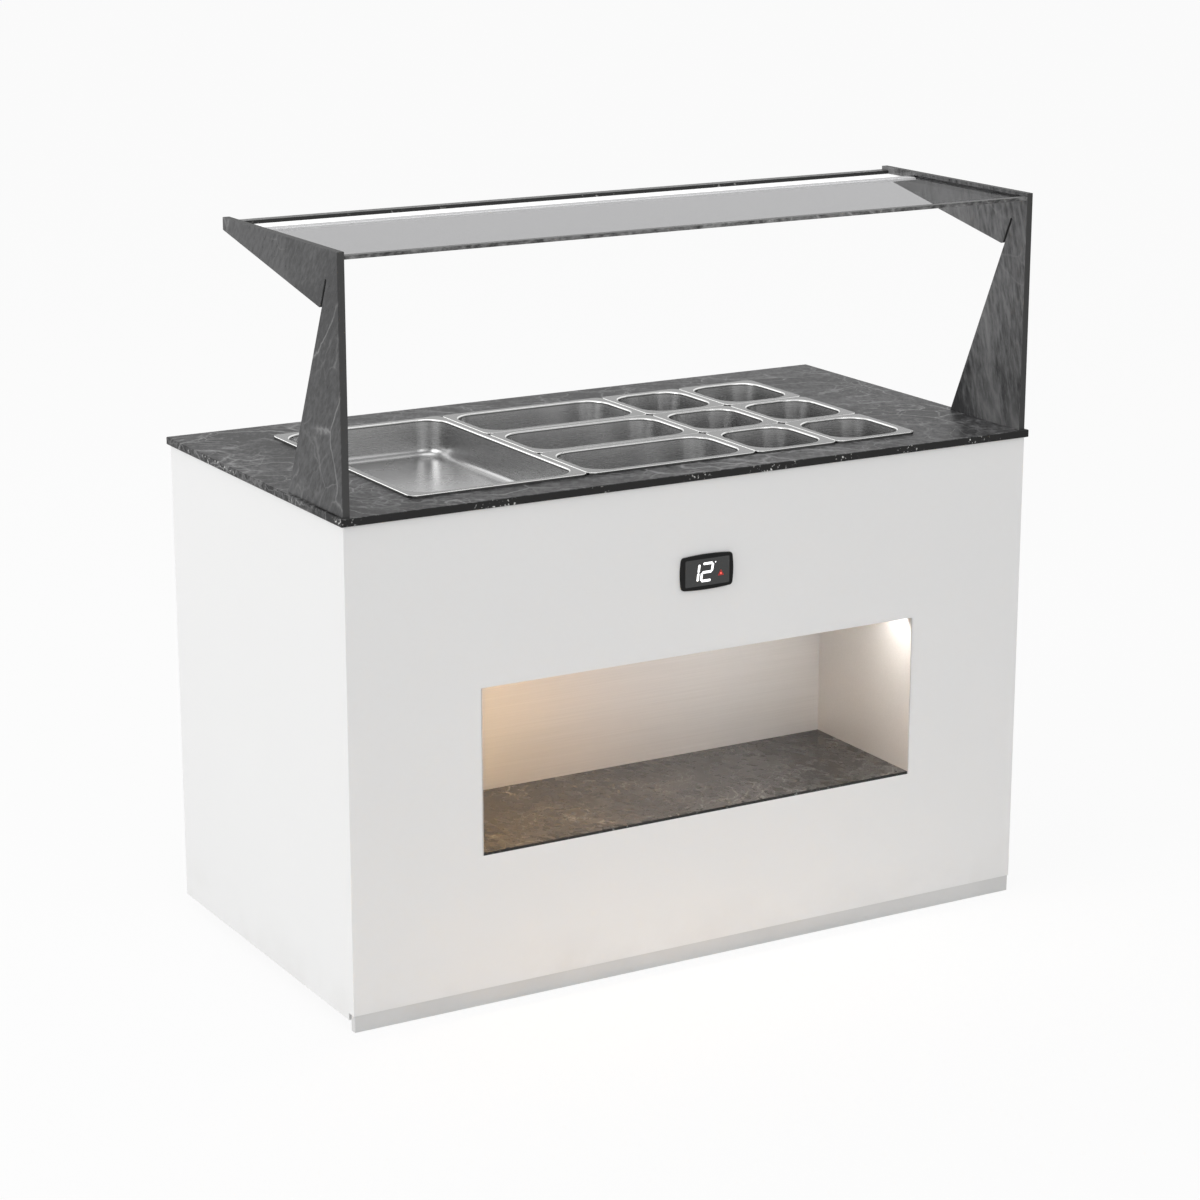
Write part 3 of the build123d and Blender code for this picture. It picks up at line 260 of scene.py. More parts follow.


# stone: charcoal ground with a streaky grain, pale veins that fork and fade, and bright chips
# drift is the axis, from and to in metres, and how much paler at each
# each vein is cells to the metre, half width of the line, share, and where it starts to show
# edge is the plain colour the narrow faces of a plate take in place of the veined stone: painted shade,
# darker than the broad faces on the slab, the rear rail and the right upright
stoneBase = {
    "drift": ("X", -0.5, 0.5, 0.0, 0.0), "chip": grey(0.6, 0.58), "chipShare": 0.0,
    "roughness": (0.34, 0.5), "edgeRoughness": 0.5, "gloss": 0.08,
}
uprightBase = dict(stoneBase, vein=grey(0.26), broadSides="X", edgeRoughness=0.55)
railBase = dict(
    stoneBase, chipShare=0.4, stretch=(2.0, 1.0, 1.0), turn=(0, 0, 12),
    grain=120.0, grainStretch=(1.6, 1.0, 1.0), veins=((30.0, 0.10, 0.6, 0.44),),
)
stoneLook = {
    "stoneSlab": dict(
        stoneBase, ground=grey(0.021, 0.0215), cloud=grey(0.132, 0.134), vein=grey(0.36), edge=grey(0.026),
        chip=grey(0.80, 0.78), chipShare=0.9, stretch=(3.0, 1.0, 1.0), turn=(0, 0, -28), broadSides="XZ",
        grain=96.0, grainStretch=(1.0, 1.8, 1.0), drift=("X", -0.5, 0.5, -0.10, -0.06),
        veins=((9.0, 0.040, 0.6, 0.42), (20.0, 0.050, 0.6, 0.42), (42.0, 0.080, 0.4, 0.44)),
    ),
    "stoneShelf": dict(
        stoneBase, ground=grey(0.009), cloud=grey(0.034), vein=grey(0.20), edge=grey(0.018),
        chipShare=0.3, stretch=(2.2, 1.0, 1.0), turn=(0, 0, 20), broadSides="Z",
        grain=80.0, grainStretch=(1.0, 1.7, 1.0),
        veins=((14.0, 0.026, 0.7, 0.46), (46.0, 0.050, 0.8, 0.46)),
        roughness=(0.2, 0.36), edgeRoughness=0.4, gloss=0.2,
    ),
    "stoneLeft": dict(
        uprightBase, ground=grey(0.046, 0.047), cloud=grey(0.100, 0.102), edge=grey(0.066),
        stretch=(1.0, 1.0, 2.6), turn=(38, 0, 0), grain=130.0, grainStretch=(1.0, 1.0, 2.6),
        drift=("Y", -0.168, -0.150, -0.10, 0.24),    # the rear part of the arm is paler
        veins=((7.0, 0.030, 0.8, 0.42), (16.0, 0.040, 0.45, 0.48)),
        roughness=(0.26, 0.4), gloss=0.12,
    ),
    # painted light: the right upright is a separate copy of the upright stone, its cloud paler to make up
    # for light its inner face does not get
    "stoneRightPaintedLight": dict(
        uprightBase, ground=grey(0.028, 0.029), cloud=grey(0.135, 0.137), edge=grey(0.034),
        stretch=(1.0, 1.0, 5.0), turn=(-14, 0, 0), grain=120.0, grainStretch=(1.0, 1.0, 4.0),
        drift=("Z", 0.86, 1.10, -0.30, 0.10),        # painted shade: the foot is darker
        veins=((4.5, 0.22, 0.5, 0.40), (24.0, 0.10, 0.25, 0.44)),
        roughness=(0.08, 0.2), gloss=0.36,
    ),
    "stoneFrontRail": dict(
        railBase, ground=grey(0.060), cloud=grey(0.26), vein=grey(0.50), edge=grey(0.16), broadSides="Y",
    ),
    "stoneRearRail": dict(
        railBase, ground=grey(0.070), cloud=grey(0.22), vein=grey(0.42), edge=grey(0.030), broadSides="Z",
    ),
}
stonePattern = {
    "sway": (3.2, 2.0, 0.6, 0.30),      # noise scale, detail, roughness, and how far it pushes the veins
    "crook": (17.0, 4.0, 0.6, 0.030),
    "cloudNoise": (5.0, 8.0, 0.62),     # scale, detail, roughness
    "grainNoise": (5.0, 0.66),          # detail, roughness
    "grainShare": 0.58,
    "toneBand": (0.42, 0.60),
    "driftReach": 0.28,
    "veinSharpness": 2.2,
    "fadeNoise": (4.2, 3.1, 3.0),       # scale, what each further vein adds to it, detail
    "fadeWidth": 0.16,
    "facingBand": (0.3, 0.9),
    "flakeBand": (170.0, 2.0, 0.60, 0.68),
    "flakeRoughness": 0.5,
    "gatherBand": (11.0, 2.0, 0.52, 0.60),
    "rubBand": (0.35, 0.68),
    "bump": (0.10, 0.0006),
}


def crackLines(tree, place, scale, width, sharpness):
    # bright along the walls between cells, with a fine core and a soft haze beside it
    cells = addNode(tree, "TexVoronoi", {"Vector": place, "Scale": scale}, feature="DISTANCE_TO_EDGE")
    wall = remap(tree, cells.outputs["Distance"], 0.0, width, 1.0, 0.0)
    return combine(tree, "POWER", wall, sharpness)


def pushedPlace(tree, base, place, push):
    # a drifting offset bends the straight run of the pattern
    scale, detail, rough, amount = push
    sockets = {"Vector": base, "Scale": scale, "Detail": detail, "Roughness": rough}
    offset = addNode(tree, "TexNoise", sockets).outputs["Color"]
    sockets = {0: offset, 1: (amount, amount, amount), 2: place}
    return addNode(tree, "VectorMath", sockets, operation="MULTIPLY_ADD").outputs[0]


def facingShare(tree, sides, band):
    # 1 on the broad faces of a plate and 0 on its other edges
    normal = faceNormal(tree)
    share = combine(tree, "ABSOLUTE", axisValue(tree, normal, sides[0]))
    for side in sides[1:]:
        share = combine(tree, "MAXIMUM", share, combine(tree, "ABSOLUTE", axisValue(tree, normal, side)))
    return remap(tree, share, *band)


def makeStone(name, look, pattern):
    material, tree, shader = startMaterial(name, look["ground"], look["roughness"][0])
    plain = objectPlace(tree)
    swaying = pushedPlace(tree, plain, objectPlace(tree, look["stretch"], look["turn"]), pattern["sway"])
    crooked = pushedPlace(tree, plain, swaying, pattern["crook"])
    grainPlace = objectPlace(tree, look["grainStretch"], look["turn"])
    grain = noiseValue(tree, grainPlace, look["grain"], *pattern["grainNoise"])
    mixed = mixValue(tree, pattern["grainShare"], noiseValue(tree, swaying, *pattern["cloudNoise"]), grain)
    axis, start, end, low, high = look["drift"]
    reach = pattern["driftReach"]
    paler = remap(tree, axisValue(tree, plain, axis), start, end, low * reach, high * reach)
    tone = remap(tree, combine(tree, "ADD", mixed, paler), *pattern["toneBand"])
    colour = mixColour(tree, tone, look["ground"], look["cloud"])

    fadeScale, fadeStep, fadeDetail = pattern["fadeNoise"]
    for step, (scale, width, share, start) in enumerate(look["veins"]):
        band = (fadeScale + fadeStep * step, fadeDetail, start, start + pattern["fadeWidth"])
        fade = noiseBand(tree, plain, band, 0.0, share)
        cracks = crackLines(tree, crooked, scale, width, pattern["veinSharpness"])
        colour = mixColour(tree, combine(tree, "MULTIPLY", cracks, fade), colour, look["vein"])
    # painted shade: faces other than the broad ones take the plain edge colour instead of the veined stone
    facing = facingShare(tree, look["broadSides"], pattern["facingBand"])
    colour = mixColour(tree, facing, look["edge"], colour)

    # chips gather along the edges of the plate, away from its broadest face
    flake = noiseBand(tree, plain, pattern["flakeBand"], 0.0, look["chipShare"], pattern["flakeRoughness"])
    gathered = combine(tree, "MULTIPLY", flake, noiseBand(tree, plain, pattern["gatherBand"]))
    broadest = facingShare(tree, look["broadSides"][-1], pattern["facingBand"])
    shown = combine(tree, "MULTIPLY", gathered, combine(tree, "SUBTRACT", 1.0, broadest))
    tree.links.new(mixColour(tree, shown, colour, look["chip"]), shader.inputs["Base Color"])

    rubbed = remap(tree, mixed, *pattern["rubBand"], *look["roughness"])
    tree.links.new(mixValue(tree, facing, look["edgeRoughness"], rubbed), shader.inputs["Roughness"])
    shader.inputs["Specular IOR Level"].default_value = look["gloss"]
    bumpFrom(tree, shader, grain, *pattern["bump"])
    return material


# smoked glass of the guard
glassLook = {
    "tint": grey(0.46, 0.465),
    "index": 1.02,
    "haze": (0.0, 0.03),
    "hazeBand": (9.0, 6.0, 0.45, 0.75),
    "hazeStretch": (3, 1, 1),
}


def makeGlass(look):
    material, tree, shader = startMaterial("smokedGlass", look["tint"], look["haze"][0])
    shader.inputs["Transmission Weight"].default_value = 1.0
    shader.inputs["IOR"].default_value = look["index"]
    smear = noiseBand(tree, objectPlace(tree, look["hazeStretch"]), look["hazeBand"], *look["haze"])
    tree.links.new(smear, shader.inputs["Roughness"])
    return material


# lit opal covers: the niche lamp glows warm at its left end and white at its right
opalLook = {
    "plastic": grey(0.93),
    "roughness": 0.45,
    "grainNoise": (300.0, 2.0),
    "bump": (0.08, 0.0004),
    # metres along, with the colour there
    "nicheGlow": ((-0.40, (2.45, 1.40, 0.38)), (-0.10, (0.42, 0.29, 0.21)), (0.40, (0.97, 0.94, 0.90))),
    "nichePower": 92.0,
    "canopyGlow": ((0.0, grey(0.95)),),
    "canopyPower": 0.35,
}


def makeOpal(name, look, stops, power):
    material, tree, shader = startMaterial(name, look["plastic"], look["roughness"])
    place = objectPlace(tree)
    glow = stops[0][1]
    for (start, _), (end, colour) in zip(stops, stops[1:]):
        glow = mixColour(tree, remap(tree, axisValue(tree, place, "X"), start, end), glow, colour)
    feed(tree, glow, shader.inputs["Emission Color"])
    shader.inputs["Emission Strength"].default_value = power
    bumpFrom(tree, shader, noiseValue(tree, place, *look["grainNoise"]), *look["bump"])
    return material


# sheet metals: fine streaks along one axis, with smears in the gloss
metalPattern = {
    "streakNoise": (1.0, 5.0, 0.7),    # scale, detail, roughness
    "smearShare": 0.45,
    "rubBand": (0.3, 0.7),
    "bumpDepth": 0.0003,
}
brushedBase = {"streaks": (0.25, 0.0024, 0.0024), "smearNoise": (7.0, 5.0), "bump": 0.10}
brushedLook = {
    "brushedSheet": dict(
        brushedBase, dark=(0.50, 0.49, 0.48), pale=(0.64, 0.63, 0.62), roughness=(0.30, 0.44), metallic=1.0,
    ),
    "nicheSteel": dict(
        brushedBase, dark=(0.52, 0.51, 0.50), pale=(0.68, 0.67, 0.66), roughness=(0.42, 0.56), metallic=0.6,
    ),
}


def brushSurface(tree, shader, look):
    lines = noiseValue(tree, objectPlace(tree, look["streaks"]), *metalPattern["streakNoise"])
    smear = noiseValue(tree, objectPlace(tree), *look["smearNoise"])
    uneven = mixValue(tree, metalPattern["smearShare"], lines, smear)
    rubbed = remap(tree, uneven, *metalPattern["rubBand"], *look["roughness"])
    tree.links.new(rubbed, shader.inputs["Roughness"])
    bumpFrom(tree, shader, lines, look["bump"], metalPattern["bumpDepth"])
    return lines, smear


def makeBrushedMetal(name, look):
    material, tree, shader = startMaterial(name, look["pale"], look["roughness"][0], look["metallic"])
    lines, _ = brushSurface(tree, shader, look)
    tree.links.new(mixColour(tree, lines, look["dark"], look["pale"]), shader.inputs["Base Color"])
    return material


# pressed steel of the pans: brushed walls, and flat rims painted darker than the walls with a painted
# highlight on their rounded edges, both standing in for reflections
panLook = {
    # painted reflection: the rim's flat tones are darker than the same steel of the walls, and its rounded
    # edges get a pale painted highlight
    "rim": (grey(0.165), grey(0.215, 0.21)),
    "paintedHighlight": grey(0.86, 0.85),
    "wall": (grey(0.40), grey(0.46)),
    "rimHeight": 4.6 * mm,
    "rimFade": 1.1,
    "flatBand": (0.90, 0.985),      # how far up a face looks, from the painted highlight on the rounding to the painted darker flat
    "steepBand": (0.15, 0.40),      # and from plain wall to the painted highlight on the rounding
    "roughness": (0.24, 0.30),
    "streaks": (0.12, 0.12, 0.0018),
    "smearNoise": (9.0, 5.0),
    "bump": 0.012,
}


def makePanSteel(look):
    material, tree, shader = startMaterial("panSteel", look["wall"][1], look["roughness"][0], 1.0)
    lines, smear = brushSurface(tree, shader, look)
    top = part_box("pan_full")[1].z
    height = axisValue(tree, objectPlace(tree), "Z")
    onRim = remap(tree, height, top - look["rimHeight"] * look["rimFade"], top - look["rimHeight"])
    facingUp = axisValue(tree, faceNormal(tree), "Z")
    notFlat = remap(tree, facingUp, *look["flatBand"], 1.0, 0.0)
    # painted highlight on the rim's rounded faces, over its painted darker flat
    paintedHighlightMask = combine(tree, "MULTIPLY", notFlat, remap(tree, facingUp, *look["steepBand"]))
    rim = mixColour(tree, paintedHighlightMask, mixColour(tree, smear, *look["rim"]), look["paintedHighlight"])
    wall = mixColour(tree, lines, *look["wall"])
    tree.links.new(mixColour(tree, onRim, wall, rim), shader.inputs["Base Color"])
    return material


# zinc-coated sheet, with its crystals
zincLook = {
    "dark": (0.42, 0.43, 0.45),
    "pale": (0.58, 0.59, 0.61),
    "bloom": grey(0.50),
    "bloomBand": (6.0, 6.0, 0.4, 0.75),
    "bloomMost": 0.5,
    "crystalScale": 70.0,
    "roughness": (0.32, 0.5),
    "grainNoise": (500.0, 3.0),
    "bump": (0.05, 0.0003),
}


def makeZinc(look):
    material, tree, shader = startMaterial("zincSheet", look["pale"], look["roughness"][0], 1.0)
    place = objectPlace(tree)
    crystals = addNode(tree, "TexVoronoi", {"Vector": place, "Scale": look["crystalScale"]})
    facet = addNode(tree, "SeparateColor", {0: crystals.outputs["Color"]}).outputs[0]
    dull = noiseBand(tree, place, look["bloomBand"], 0.0, look["bloomMost"])
    spangle = mixColour(tree, facet, look["dark"], look["pale"])
    tree.links.new(mixColour(tree, dull, spangle, look["bloom"]), shader.inputs["Base Color"])
    tree.links.new(remap(tree, facet, 0.0, 1.0, *look["roughness"]), shader.inputs["Roughness"])
    bumpFrom(tree, shader, noiseValue(tree, place, *look["grainNoise"]), *look["bump"])
    return material


# one maker for moulded, painted, cast and foamed surfaces
# two colours, roughness range, grain to the metre, bump strength, then metallic, patches to the metre, gloss
grainedLook = {
    "skirtingGrey": (grey(0.69, 0.685), grey(0.64, 0.635), (0.42, 0.58), 500.0, 0.08),
    "whiteCoat": (grey(0.88, 0.87), grey(0.84, 0.83), (0.32, 0.46), 700.0, 0.12),
    "paleFoam": ((0.76, 0.66, 0.40), (0.66, 0.55, 0.30), (0.8, 0.95), 160.0, 0.5),
    "drawnCopper": ((0.72, 0.33, 0.18), (0.42, 0.19, 0.11), (0.22, 0.42), 120.0, 0.06, 1.0, 14.0),
    "turnedBrass": ((0.68, 0.50, 0.20), (0.50, 0.36, 0.14), (0.22, 0.4), 200.0, 0.06, 1.0, 20.0),
    "blackPlastic": (grey(0.009), grey(0.014), (0.40, 0.58), 900.0, 0.12),
    "bezelBlack": (grey(0.012), grey(0.017), (0.40, 0.58), 900.0, 0.12, 0.0, 8.0, 0.10),
    "displayPane": ((0.030, 0.031, 0.031), (0.036, 0.037, 0.037), (0.14, 0.24), 300.0, 0.02),
    "redVinyl": ((0.52, 0.03, 0.025), (0.42, 0.02, 0.018), (0.32, 0.48), 260.0, 0.1),
    "blackRubber": (grey(0.022), grey(0.04, 0.039), (0.65, 0.85), 380.0, 0.2),
    "blackPaint": (grey(0.018, 0.019), grey(0.030, 0.031), (0.18, 0.34), 260.0, 0.08),
    "greyPlastic": ((0.50, 0.51, 0.51), (0.45, 0.46, 0.46), (0.42, 0.58), 700.0, 0.12),
}
grainPattern = {
    "patchDetail": 6.0,
    "patchBand": (0.35, 0.7),
    "fineNoise": (3.0, 0.6),    # detail, roughness
    "rubBand": (0.3, 0.7),
    "bumpDepth": 0.0005,
}


def makeGrained(name, first, second, roughness, grain, strength, metallic=0.0, patch=8.0, gloss=0.5):
    material, tree, shader = startMaterial(name, first, roughness[0], metallic)
    shader.inputs["Specular IOR Level"].default_value = gloss
    place = objectPlace(tree)
    patches = noiseBand(tree, place, (patch, grainPattern["patchDetail"], *grainPattern["patchBand"]))
    tree.links.new(mixColour(tree, patches, first, second), shader.inputs["Base Color"])
    fine = noiseValue(tree, place, grain, *grainPattern["fineNoise"])
    tree.links.new(remap(tree, fine, *grainPattern["rubBand"], *roughness), shader.inputs["Roughness"])
    bumpFrom(tree, shader, fine, strength, grainPattern["bumpDepth"])
    return material


# pressed wood chips of the base board
boardLook = {
    "glue": (0.43, 0.31, 0.18),
    "chip": (0.64, 0.50, 0.32),
    "chipScale": 240.0,
    "flat": (1, 1, 0.33),
    "roughness": 0.75,
    "bump": (0.2, 0.0008),
}


def makeBoard(look):
    material, tree, shader = startMaterial("chipBoard", look["chip"], look["roughness"])
    sockets = {"Vector": objectPlace(tree, look["flat"]), "Scale": look["chipScale"]}
    chips = addNode(tree, "TexVoronoi", sockets)
    tone = addNode(tree, "SeparateColor", {0: chips.outputs["Color"]}).outputs[1]
    tree.links.new(mixColour(tree, tone, look["glue"], look["chip"]), shader.inputs["Base Color"])
    bumpFrom(tree, shader, chips.outputs["Distance"], *look["bump"])
    return material


# lit signs on the display: colour and power
litLook = {
    "litDigits": (grey(1.0), 1.0),
    "litRed": ((0.30, 0.012, 0.010), 0.35),
    "litRedCore": ((1.0, 0.12, 0.08), 0.9),
}
litPattern = {"roughness": 0.4, "dim": 0.8, "band": (420.0, 2.0, 0.3, 0.7), "shares": (0.88, 1.0)}


def makeLit(name, colour, power):
    material, tree, shader = startMaterial(name, colour, litPattern["roughness"])
    flicker = noiseBand(tree, objectPlace(tree), litPattern["band"], *litPattern["shares"])
    dim = tuple(channel * litPattern["dim"] for channel in colour)
    tree.links.new(mixColour(tree, flicker, dim, colour), shader.inputs["Emission Color"])
    shader.inputs["Emission Strength"].default_value = power
    return material


stones = {name: makeStone(name, look, stonePattern) for name, look in stoneLook.items()}
brushed = {name: makeBrushedMetal(name, look) for name, look in brushedLook.items()}
grained = {name: makeGrained(name, *look) for name, look in grainedLook.items()}
lit = {name: makeLit(name, *look) for name, look in litLook.items()}
slotFinish = {
    "panel_white": makeLaminate(laminateLook),
    "skirting_grey": grained["skirtingGrey"],
    "board": makeBoard(boardLook),
    "stone": stones["stoneSlab"],
    "smoked_glass": makeGlass(glassLook),
    "opal": makeOpal("canopyOpal", opalLook, opalLook["canopyGlow"], opalLook["canopyPower"]),
    "light_metal": grained["whiteCoat"],
    "pan_steel": makePanSteel(panLook),
    "sheet_steel": brushed["brushedSheet"],
    "zinc_steel": makeZinc(zincLook),
    "foam": grained["paleFoam"],
    "copper": grained["drawnCopper"],
    "brass": grained["turnedBrass"],
    "black_plastic": grained["blackPlastic"],
    "black_gloss": grained["displayPane"],
    "red_plastic": grained["redVinyl"],
    "rubber": grained["blackRubber"],
    "black_paint": grained["blackPaint"],
    "compressor_black": grained["blackPaint"],
    "grey_plastic": grained["greyPlastic"],
}
nodeFinish = {
    "support_left": stones["stoneLeft"],
    "support_right": stones["stoneRightPaintedLight"],
    "front_rail": stones["stoneFrontRail"],
    "rear_rail": stones["stoneRearRail"],
    "niche_light_diffuser": makeOpal("nicheOpal", opalLook, opalLook["nicheGlow"], opalLook["nichePower"]),
    "niche_liner": brushed["nicheSteel"],
    "niche_shelf": stones["stoneShelf"],
    "display_bezel": grained["bezelBlack"],
}
for subpart in frame["record"]["subparts"]:
    finish = nodeFinish.get(subpart["node"], slotFinish[subpart["material_slot"]])
    for materialSlot in cadNodes[subpart["node"]].material_slots:
        materialSlot.material = finish
cadNodes["canopy_glass"].visible_shadow = False    # thin tinted pane: lamps shine on through it


# new pieces
sharpAngle = math.radians(35)
alongLimit = 0.9    # cosine beyond which an edge counts as along an axis
acrossX = Matrix.Rotation(math.radians(90), 4, "X")
rearward = Vector((0, 1, 0))
upward = Vector((0, 0, 1))


def finishPiece(name, bm, material, body):
    bmesh.ops.recalc_face_normals(bm, faces=bm.faces)
    mesh = bpy.data.meshes.new(name)
    bm.to_mesh(mesh)
    bm.free()
    mesh.materials.append(material)
    mesh.shade_smooth()
    mesh.set_sharp_from_angle(angle=sharpAngle)
    piece = bpy.data.objects.new(name, mesh)
    bpy.context.scene.collection.objects.link(piece)
    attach(piece, body)


def roundEdges(bm, edges, offset, segments):
    bmesh.ops.bevel(bm, geom=list(edges), offset=offset, segments=segments, profile=0.5, affect="EDGES",
                    material=-1)


def addDisc(bm, place, radius, depth, sides, taper=1.0):
    # a disc of a radius and depth in mm, with its axis along the place's Z
    return bmesh.ops.create_cone(bm, cap_ends=True, segments=sides, radius1=radius * mm,
                                 radius2=radius * mm * taper, depth=depth * mm, matrix=place)["verts"]


def edgesOf(verts):
    return list(dict.fromkeys(edge for vert in verts for edge in vert.link_edges))


def runsAlong(edge, axis):
    return abs((edge.verts[0].co - edge.verts[1].co).normalized().dot(axis)) > alongLimit


def outermost(faces, axis):
    return max(faces, key=lambda face: face.calc_center_median().dot(axis))


# digits and the small red lamp of the temperature display, in mm from the window's middle
displayFacts = {
    "digits": (("1", -27.0), ("2", -1.0)),    # sign, and how far right its middle is
    "strokes": {"1": "bc", "2": "abged"},
    "halfWide": 9.6,
    "halfTall": 14.4,
    "stroke": 4.1,
    "strokeRound": 0.46,                      # share of the stroke's width
    "strokeSteps": 5,
    "gap": 0.5,
    "slant": 8.0,
    "rise": 0.25,
    "degreeMark": (13.4, 15.0, 1.2),          # right, up and radius
    "degreeSides": 24,
    "lampPlace": (26.0, -5.6),
    "lampSides": 3,
    "lampRadius": 7.0,
    "lampRound": 1.2,
    "lampSteps": 4,
    "coreRadius": 1.5,
    "coreTaper": 0.7,
    "coreSides": 20,
}


def addBar(bm, start, end, facts):
    # flat bar with round ends between two points of the display's plane
    run = end - start
    width = facts["stroke"] * mm
    size = Matrix.Diagonal((run.length + width, facts["rise"] * mm, width, 1))
    turn = Matrix.Rotation(-math.atan2(run.z, run.x), 4, "Y")
    place = Matrix.Translation((start + end) / 2) @ turn @ size
    made = bmesh.ops.create_cube(bm, size=1.0, matrix=place)
    ends = [edge for edge in edgesOf(made["verts"]) if runsAlong(edge, rearward)]
    roundEdges(bm, ends, width * facts["strokeRound"], facts["strokeSteps"])


def addDigits(facts, middle):
    wide, tall = facts["halfWide"], facts["halfTall"]
    ends = {
        "a": ((-wide, tall), (wide, tall)),
        "b": ((wide, tall), (wide, 0)),
        "c": ((wide, 0), (wide, -tall)),
        "d": ((-wide, -tall), (wide, -tall)),
        "e": ((-wide, 0), (-wide, -tall)),
        "g": ((-wide, 0), (wide, 0)),
    }
    bm = bmesh.new()
    for sign, place in facts["digits"]:
        for stroke in facts["strokes"][sign]:
            start, end = (Vector((x + place, 0, z)) * mm for x, z in ends[stroke])
            inward = (end - start).normalized() * (facts["gap"] + facts["stroke"] / 2) * mm
            addBar(bm, start + inward, end - inward, facts)
    right, up, radius = facts["degreeMark"]
    place = Matrix.Translation(Vector((right, 0, up)) * mm) @ acrossX
    addDisc(bm, place, radius, facts["rise"], facts["degreeSides"])
    lean = Matrix.Identity(4)
    lean[0][2] = math.tan(math.radians(facts["slant"]))
    bmesh.ops.transform(bm, matrix=Matrix.Translation(middle) @ lean, verts=bm.verts)
    finishPiece("display_digits", bm, lit["litDigits"], "counter")


def addDisplayLamp(facts, middle):
    right, up = facts["lampPlace"]
    place = Matrix.Translation(middle + Vector((right, 0, up)) * mm) @ acrossX
    bm = bmesh.new()
    addDisc(bm, place, facts["lampRadius"], facts["rise"], facts["lampSides"])
    corners = [edge for edge in bm.edges if runsAlong(edge, rearward)]
    roundEdges(bm, corners, facts["lampRound"] * mm, facts["lampSteps"])
    finishPiece("display_lamp", bm, lit["litRed"], "counter")

    bm = bmesh.new()
    nearer = Matrix.Translation(-rearward * facts["rise"] * mm)
    addDisc(bm, nearer @ place, facts["coreRadius"], facts["rise"], facts["coreSides"], facts["coreTaper"])
    finishPiece("display_lamp_core", bm, lit["litRedCore"], "counter")


def addDisplaySigns(facts):
    low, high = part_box("display_window")
    middle = Vector(((low.x + high.x) / 2, low.y - facts["rise"] * mm / 2, (low.z + high.z) / 2))
    addDigits(facts, middle)
    addDisplayLamp(facts, middle)


addDisplaySigns(displayFacts)
print("display signs lit")


# screw heads, standing along one axis, with a round drive in each
screwFacts = {
    "radius": 3.6, "rise": 1.3, "taper": 0.94, "sides": 24, "edge": 0.5, "edgeSteps": 3,
    "drive": 1.7, "driveDepth": 0.8, "driveLean": 0.15, "reach": 5.4,
}
smallScrewFacts = dict(screwFacts, radius=2.6, rise=0.9, drive=1.2)
screwPlaces = {
    "panelInset": 14.0, "panelRows": 5,
    "leafInset": 9.0, "leafEnd": 14.0, "leafInner": 46.0, "leafSheet": 2.0,
    "grilleInset": 9.0, "plateInset": 6.5, "inletReach": 20.0, "lidInset": 12.0,
}


def addScrewHeads(name, places, axis, facts, body, material):
    bm = bmesh.new()
    turn = upward.rotation_difference(axis).to_matrix().to_4x4()
    ring = (facts["radius"] - facts["edge"] - facts["drive"]) * mm
    for place in map(Vector, places):
        stand = Matrix.Translation(place + axis * facts["rise"] * mm / 2) @ turn
        head = addDisc(bm, stand, facts["radius"], facts["rise"], facts["sides"], facts["taper"])
        top = outermost({face for vert in head for face in vert.link_faces}, axis)
        roundEdges(bm, top.edges, facts["edge"] * mm, facts["edgeSteps"])
        # the rounding makes the faces anew, so the top is looked for again on this head
        near = [face for face in bm.faces
                if (face.calc_center_median() - place).length < facts["reach"] * mm]
        top = outermost(near, axis)
        bmesh.ops.inset_region(bm, faces=[top], thickness=ring)
        bmesh.ops.inset_region(bm, faces=[top], thickness=facts["driveLean"] * mm,
                               depth=-facts["driveDepth"] * mm)
    finishPiece(name, bm, material, body)


def insetPair(low, high, inset):
    return (low + inset * mm, high - inset * mm)


def addRearScrews(places):
    steel, zinc, paint = (slotFinish[slot] for slot in ("sheet_steel", "zinc_steel", "black_paint"))
    low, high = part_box("rear_panel")
    leafFace = high.y + places["leafSheet"] * mm
    rows = [(row + 0.5) / places["panelRows"] for row in range(places["panelRows"])]
    panelPlaces = [(x, high.y, low.z + (high.z - low.z) * share)
                   for x in insetPair(low.x, high.x, places["panelInset"]) for share in rows]
    addScrewHeads("rear_panel_screws", panelPlaces, rearward, screwFacts, "counter", zinc)

    low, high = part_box("hinge_frame_leaves")
    heights = [height for inset in (places["leafEnd"], places["leafInner"])
               for height in insetPair(low.z, high.z, inset)]
    framePlaces = [(low.x + places["leafInset"] * mm, leafFace, height) for height in heights]
    addScrewHeads("hinge_frame_screws", framePlaces, rearward, screwFacts, "counter", steel)

    low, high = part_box("hinge_door_leaves")
    doorPlaces = [(high.x - places["leafInset"] * mm, leafFace, height) for height in heights]
    low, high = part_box("door_grille")
    middle = (low + high) / 2
    grilleX = insetPair(low.x, high.x, places["grilleInset"])
    grilleZ = insetPair(low.z, high.z, places["grilleInset"])
    doorPlaces += [(x, high.y, z) for x in grilleX for z in (*grilleZ, middle.z)]
    doorPlaces += [(middle.x, high.y, z) for z in grilleZ]
    addScrewHeads("door_screws", doorPlaces, rearward, screwFacts, "door", steel)

    low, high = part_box("switch_plate")
    platePlaces = [(x, high.y, z) for x in insetPair(low.x, high.x, places["plateInset"])
                   for z in insetPair(low.z, high.z, places["plateInset"])]
    low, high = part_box("power_inlet")
    middle = (low + high) / 2
    platePlaces += [(middle.x + side * places["inletReach"] * mm, high.y, middle.z) for side in (-1, 1)]
    addScrewHeads("plate_screws", platePlaces, rearward, smallScrewFacts, "counter", paint)

    low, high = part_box("electrical_box")
    lidPlaces = [(x, y, high.z) for x in insetPair(low.x, high.x, places["lidInset"])
                 for y in insetPair(low.y, high.y, places["lidInset"])]
    addScrewHeads("lid_screws", lidPlaces, upward, smallScrewFacts, "counter", zinc)


addRearScrews(screwPlaces)
print("screws in")


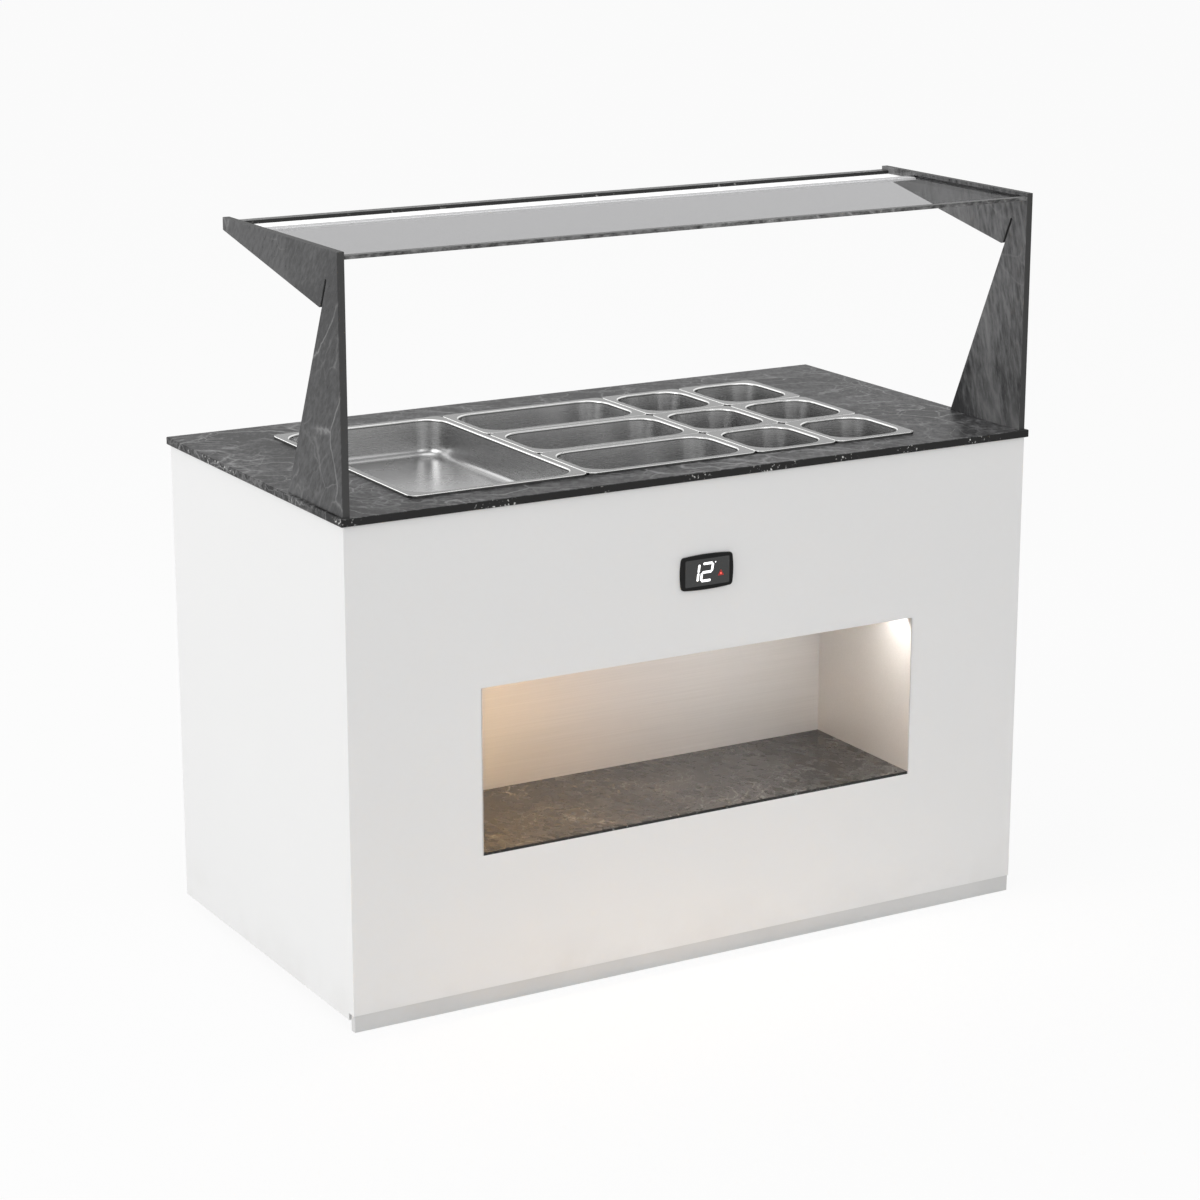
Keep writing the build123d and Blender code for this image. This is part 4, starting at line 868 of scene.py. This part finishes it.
# seam, terminal cover and holding nuts of the compressor
compressorFacts = {
    "seamHeight": 92.0,
    "seamBulge": 2.4,
    "seamSides": 12,
    "seamSteps": 72,
    "shellRadius": 82.0,
    "coverSize": (58.0, 24.0, 66.0),
    "coverHeight": 104.0,
    "coverSunk": 4.0,
    "coverRound": 5.0,
    "coverSteps": 4,
    "coverBorder": 4.0,
    "coverRaised": 1.5,
    "grommetRadius": 12.0,
    "plate": 4.0,
    # sides, radius, bottom and rise
    "washer": (28, 9.0, 0.0, 1.2),
    "nut": (6, 6.2, 1.2, 5.0),
    "nutEdge": 0.3,
    "nutSteps": 2,
}


def addCompressorSeam(facts, middle, plateTop):
    bm = bmesh.new()
    place = (middle.x + facts["shellRadius"] * mm, middle.y, plateTop + facts["seamHeight"] * mm)
    bmesh.ops.create_circle(bm, segments=facts["seamSides"], radius=facts["seamBulge"] * mm,
                            matrix=Matrix.Translation(place) @ acrossX)
    bmesh.ops.spin(bm, geom=bm.edges[:], cent=(middle.x, middle.y, 0), axis=upward, angle=math.tau,
                   steps=facts["seamSteps"], use_merge=True)
    finishPiece("compressor_seam", bm, slotFinish["black_paint"], "counter")


def addTerminalCover(facts, middle, plateTop):
    bm = bmesh.new()
    wide, deep, tall = (size * mm for size in facts["coverSize"])
    rear = middle.y + (facts["shellRadius"] - facts["coverSunk"]) * mm + deep / 2
    place = Matrix.Translation((middle.x, rear, plateTop + facts["coverHeight"] * mm))
    bmesh.ops.create_cube(bm, size=1.0, matrix=place @ Matrix.Diagonal((wide, deep, tall, 1)))
    roundEdges(bm, bm.edges, facts["coverRound"] * mm, facts["coverSteps"])
    outer = outermost(bm.faces, rearward)
    bmesh.ops.inset_region(bm, faces=[outer], thickness=facts["coverBorder"] * mm)
    bmesh.ops.inset_region(bm, faces=[outer], thickness=facts["coverRaised"] * mm,
                           depth=facts["coverRaised"] * mm)
    finishPiece("compressor_terminal_cover", bm, slotFinish["black_plastic"], "counter")


def addCompressorNuts(facts, low, high, plateTop):
    bm = bmesh.new()
    for x in insetPair(low.x, high.x, facts["grommetRadius"]):
        for y in insetPair(low.y, high.y, facts["grommetRadius"]):
            for sides, radius, bottom, rise in (facts["washer"], facts["nut"]):
                place = Matrix.Translation((x, y, plateTop + (bottom + rise / 2) * mm))
                rims = [edge for edge in edgesOf(addDisc(bm, place, radius, rise, sides))
                        if not runsAlong(edge, upward)]
                roundEdges(bm, rims, facts["nutEdge"] * mm, facts["nutSteps"])
    finishPiece("compressor_nuts", bm, slotFinish["zinc_steel"], "counter")


def addCompressorDetails(facts):
    low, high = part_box("compressor_grommets")
    middle = (low + high) / 2
    plateTop = high.z + facts["plate"] * mm
    addCompressorSeam(facts, middle, plateTop)
    addTerminalCover(facts, middle, plateTop)
    addCompressorNuts(facts, low, high, plateTop)


addCompressorDetails(compressorFacts)
print("compressor dressed")
